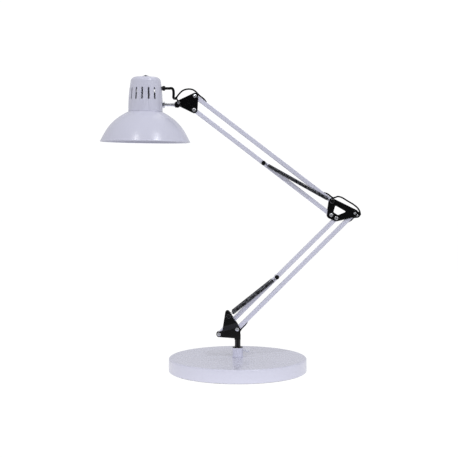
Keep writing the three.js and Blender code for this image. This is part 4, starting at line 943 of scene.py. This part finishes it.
def wing_nut(name, at, angle, body, replaced):
    """A wing nut that bears on the near plate, its wings at angle degrees above +X."""
    boss = turned("boss", [(0.0, 0.0), (3.8, 0.0), (3.8, 1.2), (3.2, 4.0), (0.0, 4.0)], 48)
    outline = [(0.0, 0.5), (1.5, 0.5), (5.6, 2.3)] + arc((6.1, 4.6), 2.4, -80, 130, 14) + [(2.4, 3.5), (0.0, 3.3)]
    wing = pressed("wing", outline, [], -1.4, 1.4, 0.5)
    other = wing.copy()
    other.transform(Matrix.Rotation(math.pi, 4, "Z"))
    whole = applied(merged(name, boss, wing, other),
                    ("REMESH", {"mode": "VOXEL", "voxel_size": 0.22 * MM}),
                    ("SMOOTH", {"factor": 0.5, "iterations": 5}))
    whole = carve(whole, turned("bore", round_bar(BOLT_R + 0.3, -3.0, 9.0), 32))
    whole.transform(Matrix.Translation((at.x * MM, WING_FACE * MM, at.z * MM))
                    @ Matrix.Rotation(-math.radians(angle), 4, "Y") @ Matrix.Rotation(math.radians(90), 4, "X"))
    whole.name = name
    new_piece(name, smoothed(whole, 55.0), body, black_nylon, [replaced])


clamp_bolt("elbow_bolt_threaded", elbow_front, "elbow_bracket", "elbow_bolt")
clamp_bolt("tilt_bolt_threaded", tilt, "head_bracket", "tilt_bolt")
wing_nut("elbow_wing_nut_moulded", elbow_front, 100.0, "elbow_wing_nut", "elbow_wing_nut")
wing_nut("tilt_wing_nut_moulded", tilt, 118.0, "tilt_wing_nut", "tilt_wing_nut")

# ---------------------------------------------------------------- head bracket
# Two triangular plates of black-painted steel. The tubes' ends are riveted between them, and the stem's
# block is clamped at the third corner.
head_outline = belt([about(tilt, 5.0), about(head_low, 6.0), about(head_top, 6.0)])
head_holes = [ring(*about(tilt, 2.5)), ring(*about(head_low, 2.3)), ring(*about(head_top, 2.3))]
plate_pair("head_bracket", head_outline, head_holes, "head_bracket")

# ---------------------------------------------------------------- stem and its nuts
# A zinc-plated rod into the side of the neck, held by a hex nut on each side of the neck's wall. Its other
# end turns in a black moulded block, which the tilt bolt clamps.
HEAD_LEAN, STEM_Z, STEM_R, STEM_REACH = 0.8, 69.0, 3.0, 61.0
TILT_Z, BLOCK_R = STEM_Z + 3.0, 5.3
head_place = (Matrix.Translation(tilt * MM) @ Matrix.Rotation(math.radians(HEAD_LEAN), 4, "Y")
              @ Matrix.Translation((-STEM_REACH * MM, 0, -TILT_Z * MM)))


def level(height):
    """A turned piece laid along the head's X axis at this height above the rim."""
    return head_place @ sideways(height)


rod = [(0.0, 20.7), (2.6, 20.7)] + thread(2.75, STEM_R, 21.0, 0.7, 22)
rod += [(STEM_R, 51.6), (3.4, 51.6)] + arc((3.2, 52.1), 0.5, 0, 10, 1)
rod += [(3.7, 53.3), (3.2, 53.8), (2.4, 53.8), (0.0, 53.8)]
turned_piece("stem_rod", rod, 64, "stem", zinc, "stem", level(STEM_Z))

swivel_block = pressed("swivel_block", belt([(58.0, STEM_Z - 0.2, BLOCK_R), (STEM_REACH, TILT_Z, BLOCK_R)]),
                       [ring(STEM_REACH, TILT_Z, 2.5)], -3.8, 3.8, 0.5)
swivel_face = turned("swivel_face", [(0.0, 53.9), (5.0, 53.9), (5.5, 54.4), (5.5, 55.2), (5.0, 55.6),
                                     (0.0, 55.6)], 64, sideways(STEM_Z))
block_mesh = merged("stem_swivel_block", swivel_block, swivel_face)
block_mesh.transform(head_place)
new_piece("stem_swivel_block", block_mesh, "stem", black_nylon)

HEX_THICK = 3.4
for replaced, low in (("stem_outer_nut", 31.8), ("stem_inner_nut", 25.86)):
    name, high = f"{replaced}_hex", low + HEX_THICK
    blank = turned("blank", round_bar(6.2, low, high), 6)
    dressed = turned("dressed", [(0.0, low), (5.4, low), (6.25, low + 0.5), (6.25, high - 0.5), (5.4, high),
                                 (0.0, high)], 64)
    nut = carve(carve(blank, dressed, "INTERSECT"),
                turned("bore", round_bar(3.3, low - 1, low + 5), 48))
    nut.transform(level(STEM_Z))
    nut.name = name
    new_piece(name, smoothed(nut), "head", zinc, [replaced])

# ---------------------------------------------------------------- neck cover
# A drawn steel cap with a flat top and rounded shoulder, enamelled white. Its side is pierced all round,
# but for the stem's side, with upright vents with round ends.
SEAM_Z, SEAM_R, NECK_TOP, SHOULDER_R, FILLET = 55.5, 31.2, 118.2, 27.6, 9.0
VENT_LOW, VENT_HIGH, PITCH, COLUMNS, VENT_TURN = 77.0, 98.5, 22.5, 176, 3.4
PER_PITCH, VENT_FIRST, VENT_LAST = 11, 4, 7
RELIEF_Z = 98.3


def neck_side(z):
    """The neck's radius at this height, below the fillet."""
    low, mid, high = SEAM_Z + 0.3, 81.0, NECK_TOP - FILLET
    a, b, c = low - 2 * mid + high, 2 * (mid - low), low - z
    t = (-b + math.sqrt(b * b - 4 * a * c)) / (2 * a)
    return SEAM_R * (1 - t) ** 2 + 2 * (SEAM_R + 0.6) * t * (1 - t) + SHOULDER_R * t * t


def is_pierced(column):
    """Whether there is a vent here: the side where the stem goes in has none."""
    return 45 < (column // PER_PITCH + 0.5) * PITCH + VENT_TURN < 315


heights = [55.8, 56.1] + [56.1 + (VENT_LOW - 56.1) * i / 6 for i in range(1, 7)]
heights += [VENT_LOW + (VENT_HIGH - VENT_LOW) * i / 8 for i in range(1, 9)]
heights += [VENT_HIGH + (NECK_TOP - FILLET - VENT_HIGH) * i / 3 for i in range(1, 4)]
neck_rows = [(neck_side(z), z) for z in heights]
neck_rows += arc((SHOULDER_R - FILLET, NECK_TOP - FILLET), FILLET, 0, 90, 14)[1:]
neck_rows += [(18.3, NECK_TOP), (12.0, NECK_TOP), (5.1, NECK_TOP), (4.9, NECK_TOP)]
vent_rows = range(heights.index(VENT_LOW), heights.index(VENT_HIGH))
build = bmesh.new()
grid = []
for row, (r, z) in enumerate(neck_rows):
    line = []
    for i in range(COLUMNS):
        in_vent = i % PER_PITCH in (VENT_FIRST, VENT_LAST) and is_pierced(i)
        rise = 0.9 * in_vent * ((z == VENT_LOW) - (z == VENT_HIGH))
        turn = 2 * math.pi * i / COLUMNS + math.radians(VENT_TURN)
        line.append(build.verts.new((r * MM * math.cos(turn), r * MM * math.sin(turn), (z + rise) * MM)))
    grid.append(line)
for row in range(len(neck_rows) - 1):
    for i in range(COLUMNS):
        if row in vent_rows and VENT_FIRST <= i % PER_PITCH < VENT_LAST and is_pierced(i):
            continue
        k = (i + 1) % COLUMNS
        build.faces.new((grid[row][i], grid[row][k], grid[row + 1][k], grid[row + 1][i]))
neck_sheet = as_mesh("neck_cover_drawn", build)
neck_mesh = applied(neck_sheet, ("SOLIDIFY", {"thickness": 1.0 * MM, "offset": -1.0, "use_even_offset": True}))
for hole_r, hole_z in ((3.3, STEM_Z), (3.6, RELIEF_Z)):
    neck_mesh = carve(neck_mesh, turned("drill", round_bar(hole_r, 20.0, 40.0), 32, sideways(hole_z)))
neck_mesh.transform(head_place)
neck_mesh.name = "neck_cover_drawn"
new_piece("neck_cover_drawn", smoothed(neck_mesh, 38.0), "head", white_enamel, ["neck_cover"])

# ---------------------------------------------------------------- shade bowl
# A spun steel bowl with a beaded rim. A spigot at its top goes up inside the neck cover, so that a fine
# seam shows where the two meet. Enamelled white inside and out.
RIM_R, BEAD, SHEET = 82.5, 1.0, 1.0


def bezier(points, t):
    """A point on a cubic curve, and its direction."""
    a, b, c, d = (Vector(p) for p in points)
    spot = a * (1 - t) ** 3 + 3 * b * t * (1 - t) ** 2 + 3 * c * t * t * (1 - t) + d * t ** 3
    way = 3 * (b - a) * (1 - t) ** 2 + 6 * (c - b) * t * (1 - t) + 3 * (d - c) * t * t
    return spot, way.normalized()


bowl_curve = [(31.0, 55.5), (60.8, 40.6), (70.2, 25.1), (RIM_R - BEAD, 2 * BEAD)]
outside, inside_wall = [], []
for i in range(41):
    spot, way = bezier(bowl_curve, i / 40)
    outside.append((spot.x, spot.y))
    inside_wall.append((spot.x + way.y * SHEET, spot.y - way.x * SHEET))
bowl_profile = [(29.9, 61.5), (29.9, 55.5)] + outside + arc((RIM_R - BEAD, BEAD), BEAD, 75, -180, 14)
bowl_profile += list(reversed(inside_wall[1:-1])) + [(28.9, 54.5), (28.9, 61.5)]
turned_piece("shade_bowl_spun", bowl_profile, 192, "head", white_enamel, "shade_bowl", head_place)

# ---------------------------------------------------------------- switch
# A push switch through the top of the neck: a moulded body inside, a grey plated ring nut outside, and
# a domed button.
phenolic = coated("dark_phenolic", (0.02, 0.016, 0.014), 0.35, cloud=0.5, peel=900.0, peel_depth=0.03, dusty=0.1)
dress(phenolic, "switch_body")
dull_nickel = plated("dull_nickel", (0.30, 0.30, 0.33))
bezel_profile = [(4.9, 118.5), (6.8, 118.5), (6.8, 119.2)] + arc((5.8, 119.2), 1.0, 15, 75, 5)
bezel_profile += [(5.5, 120.3), (4.9, 120.4)]


def serrated(turn, radius, along):
    """Fine serrations round the ring nut's edge."""
    return radius - (0.12 * (1 + math.cos(40 * turn)) / 2 if radius > 6.3 else 0.0)


turned_piece("switch_bezel_ring", bezel_profile, 240, "head", dull_nickel, "switch_bezel", head_place,
             flutes=serrated)
button_profile = [(0.0, 108.5), (3.0, 108.5), (3.0, 121.0)] + dome(3.0, 121.0, 1.1)
turned_piece("switch_button_domed", button_profile, 48, "switch_button", dull_nickel, "switch_button",
             head_place, False)

# ---------------------------------------------------------------- lamp holder and strap
# A phenolic holder with a ribbed side and a rolled brass screw shell. A zinc strap hangs it from the
# switch's ring nut, under the top of the neck.


def ribbed(turn, radius, along):
    """Grip ribs round the holder's side."""
    return radius - (0.25 * (1 + math.cos(48 * turn)) / 2 if radius > 19.5 else 0.0)


holder_profile = [(0.0, 95.0), (14.0, 95.0)] + arc((17.0, 85.0), 3.0, 60, 0, 6)
holder_profile += [(20.0, 83.0), (20.0, 49.5)] + arc((18.5, 47.5), 1.5, 0, -90, 5)
holder_profile += [(15.3, 46.0), (15.3, 78.0), (0.0, 78.0)]
turned_piece("lamp_holder_moulded", holder_profile, 192, "head", phenolic, "lamp_holder", head_place,
             False, ribbed)
# The brown tone given here is painted shade in the brass's hollows.
brass = plated("aged_brass", (0.56, 0.40, 0.16), grain=300.0, hollow_shade=(0.10, 0.06, 0.03))
dress(brass, "holder_contact")
THREAD_PITCH, THREAD_DEEP = 3.6, 0.35


def rolled_thread(turn, radius, along):
    """A round thread rolled into thin sheet."""
    return radius + THREAD_DEEP * math.sin(2 * math.pi * along / THREAD_PITCH - turn)


shell_in = [(14.3, 50.0 + 0.3 * i) for i in range(73)]
shell_profile = shell_in + [(r + 0.4, z) for r, z in reversed(shell_in)]
turned_piece("holder_screw_shell_rolled", shell_profile, 72, "head", brass, "holder_screw_shell",
             head_place, flutes=rolled_thread)

STRAP_LEG, STRAP_TOP, STRAP_LOW, STRAP_THICK = 20.3, 112.0, 70.0, 1.2
left_bend = (-STRAP_LEG + STRAP_THICK, STRAP_TOP - 2 * STRAP_THICK)
right_bend = (STRAP_LEG - STRAP_THICK, STRAP_TOP - 2 * STRAP_THICK)
strap_outline = ([(-STRAP_LEG - STRAP_THICK, STRAP_LOW), (-STRAP_LEG, STRAP_LOW)]
                 + arc(left_bend, STRAP_THICK, 180, 90, 5) + arc(right_bend, STRAP_THICK, 90, 0, 5)
                 + [(STRAP_LEG, STRAP_LOW), (STRAP_LEG + STRAP_THICK, STRAP_LOW)]
                 + arc(right_bend, 2 * STRAP_THICK, 0, 90, 7) + arc(left_bend, 2 * STRAP_THICK, 90, 180, 7))
strap = pressed("strap", strap_outline, [], -7.0, 7.0, 0.15)
strap.transform(Matrix.Rotation(math.radians(90), 4, "Z"))
strap = carve(strap, turned("drill", round_bar(4.9, 105.0, 115.0), 40))
strap.transform(head_place)
strap.name = "holder_strap_bent"
new_piece("holder_strap_bent", smoothed(strap), "head", zinc, ["holder_strap"])

# ---------------------------------------------------------------- strain relief
# A black moulded nylon bush pushed through the neck's wall, where its groove holds it. The lead comes out
# of its bell.
relief_profile = [(2.7, 25.4), (4.3, 25.4), (4.3, 26.8), (3.3, 27.0), (3.3, 30.5), (4.5, 30.7), (4.5, 32.6)]
relief_profile += arc((3.5, 34.2), 1.0, 10, 80, 5) + [(3.1, 35.8), (2.7, 35.6)]
turned_piece("strain_relief_bush", relief_profile, 64, "head", black_nylon, "strain_relief",
             level(RELIEF_Z))

# ---------------------------------------------------------------- lead
# A flat black twin lead of PVC, 4.8 by 2.8 mm. It runs from the switch out of the neck, round the head bracket,
# through the top tube, round the elbow, through the front tube and down the post into the base.
black_pvc = coated("black_pvc", (0.002, 0.002, 0.0024), 0.42, cloud=0.25, peel=700.0, peel_depth=0.04, dusty=0.005,
                   shine=0.2)


def through(points, steps=6):
    """A smooth route through points (centripetal, so that it doesn't swing wide), steps to each span."""
    knots = [points[0] * 2 - points[1], *points, points[-1] * 2 - points[-2]]
    route = [points[0]]
    for p0, p1, p2, p3 in zip(knots, knots[1:], knots[2:], knots[3:]):
        t1 = math.sqrt((p1 - p0).length)
        t2 = t1 + math.sqrt((p2 - p1).length)
        t3 = t2 + math.sqrt((p3 - p2).length)
        for i in range(1, steps + 1):
            t = t1 + (t2 - t1) * i / steps
            a1 = p0 * (t1 - t) / t1 + p1 * t / t1
            a2 = p1 * (t2 - t) / (t2 - t1) + p2 * (t - t1) / (t2 - t1)
            a3 = p2 * (t3 - t) / (t3 - t2) + p3 * (t - t2) / (t3 - t2)
            b1 = a1 * (t2 - t) / t2 + a2 * t / t2
            b2 = a2 * (t3 - t) / (t3 - t1) + a3 * (t - t1) / (t3 - t1)
            route.append(b1 * (t2 - t) / (t2 - t1) + b2 * (t - t1) / (t2 - t1))
    return route


def from_pivot(at, pairs):
    """Points given as (x, z) from a pivot."""
    return [Vector((at.x + x, 0.0, at.z + z)) for x, z in pairs]


def beside(start, end, pairs):
    """Points given as (distance along a tube, distance out from its axis on the right-hand side)."""
    u = (end - start).normalized()
    out = Vector((u.z, 0.0, -u.x))
    return [start + u * s + out * t for s, t in pairs]


def in_tube(start, end, way_in, way_out):
    """The way into a tube, along it and out again. way_out is given from the tube's far pivot."""
    length = (end - start).length
    return beside(start, end, way_in + [(length / 2, 0.0)] + [(length - s, t) for s, t in reversed(way_out)])


in_head = [(head_place @ Vector(((35.8 + x) * MM, 0.0, (RELIEF_Z + z) * MM))) / MM for x, z in
           [(-26.8, 1.7), (-21.8, 2.2), (-15.8, 0.9), (-9.8, 0), (-3.8, 0), (2.2, 0), (8.2, 0.1)]]
head_loop = from_pivot(head_top, [
    (-44.32, 14.48), (-41.12, 13.48), (-39.42, 10.28), (-39.02, 2.38), (-39.12, -2.52), (-36.72, -4.72),
    (-34.52, -3.12), (-31.72, 0.48), (-27.32, 5.88), (-20.82, 10.88), (-11.52, 12.88), (-3.52, 11.48),
    (2.48, 7.18), (5.88, 3.28)])
top_tube = in_tube(head_top, elbow_top,
                   [(7, -5.8), (12, -5.8), (17, -5.5), (21, -4.3), (25, -2.5), (29, -0.9), (34, 0.0)],
                   [(7, -5.8), (11, -5.9), (15, -5.6), (18.5, -4.4), (22, -2.8), (26, -1.2), (32, 0.0)])
elbow_loop = from_pivot(elbow_front, [
    (-39.1, 28.05), (-35.3, 28.75), (-30.7, 30.35), (-23.9, 28.95), (-12.5, 22.25), (-0.5, 14.95), (6.9, 8.25),
    (10.3, 1.05), (9.7, -4.15), (6.5, -6.95), (2.7, -7.55)])
front_tube = in_tube(elbow_front, front,
                     [(7, -4.8), (10, -4.9), (13, -4.8), (16.5, -4.0), (20, -2.6), (24, -1.1), (30, 0.0)],
                     [(7, -4.9), (12, -4.9), (17, -4.7), (21, -3.9), (25, -2.3), (29, -0.8), (34, 0.0)])
down_post = from_pivot(front, [(7.0, -0.6), (5.8, -2.6), (4.6, -4.9), (2.8, -7.9), (1.3, -11.2), (0.6, -15.5)])
down_post += [Vector((0, 0, z)) for z in (57.5, 51.0, 44.9, 34.5, 24.0)]
stretches = [in_head, head_loop, top_tube, elbow_loop, front_tube, down_post]
lead_route = through([p for stretch in stretches for p in stretch])
starts = [6 * sum(len(s) for s in stretches[:i]) for i in range(len(stretches) + 1)]
twin = arc((1.0, 0.0), 1.4, -125, 125, 12) + arc((-1.0, 0.0), 1.4, 55, 305, 12)


# It turns broad side on between the neck and the head bracket.
lead_twist = []
for i in range(len(lead_route)):
    in_turn = min(1.0, max(0.0, (i - 18) / 12)) - min(1.0, max(0.0, (i - (starts[1] + 28)) / 16))
    lead_twist.append(90.0 * in_turn * in_turn * (3 - 2 * in_turn))


def lead_piece(name, first, last, bodies, replaced):
    """The lead between two places on its route. It rides on one body, or on none when given two."""
    mesh = swept(name, lead_route[first:last + 1], twin, Vector((0, 1, 0)), lead_twist[first:last + 1])
    if len(bodies) == 1:
        return new_piece(name, mesh, bodies[0], black_pvc, replaced)
    return bending_piece(name, mesh, black_pvc, replaced)


def knot(stretch, index):
    """The place on the route of one of a stretch's points."""
    return starts[stretch] + 6 * index


LEAVES_TOP, LEAVES_FRONT = knot(2, len(top_tube) - 2), knot(4, len(front_tube) - 2)
lead_piece("lead_to_neck", 0, knot(1, 0), ["head", "stem"], ["lead_head"])
lead_piece("lead_loop_stem", knot(1, 0), knot(1, 5), ["stem", "head_bracket"], ["lead_head_loop"])
lead_piece("lead_loop_head", knot(1, 5), knot(2, 1), ["head_bracket", "upper_top_bar"], ["lead_head_loop"])
lead_piece("lead_in_top_tube", knot(2, 1), LEAVES_TOP, ["upper_top_bar"], ["lead_upper_arm"])
lead_piece("lead_loop_elbow_in", LEAVES_TOP, knot(3, 4), ["upper_top_bar", "elbow_bracket"],
           ["lead_elbow_loop"])
lead_piece("lead_loop_elbow_out", knot(3, 4), knot(4, 1), ["elbow_bracket", "lower_front_bar"], ["lead_elbow_loop"])
lead_piece("lead_in_front_tube", knot(4, 1), LEAVES_FRONT, ["lower_front_bar"], ["lead_lower_arm"])
lead_piece("lead_down_post", LEAVES_FRONT, len(lead_route) - 1, ["lower_front_bar", "swivel_bracket"],
           ["lead_swivel"])

base_route = through([Vector((0, y, z)) for y, z in [
    (0, 23.4), (0, 17.4), (0.3, 12.6), (2.2, 8.0), (6.2, 5.2), (12, 4.3), (20, 4.2), (60, 4.4), (95, 6.6),
    (106, 8.2), (114, 9.0), (120, 9.0)]])
new_piece("lead_in_base", swept("lead_in_base", base_route, twin, Vector((1, 0, 0))), "base", black_pvc,
          ["lead_base"])
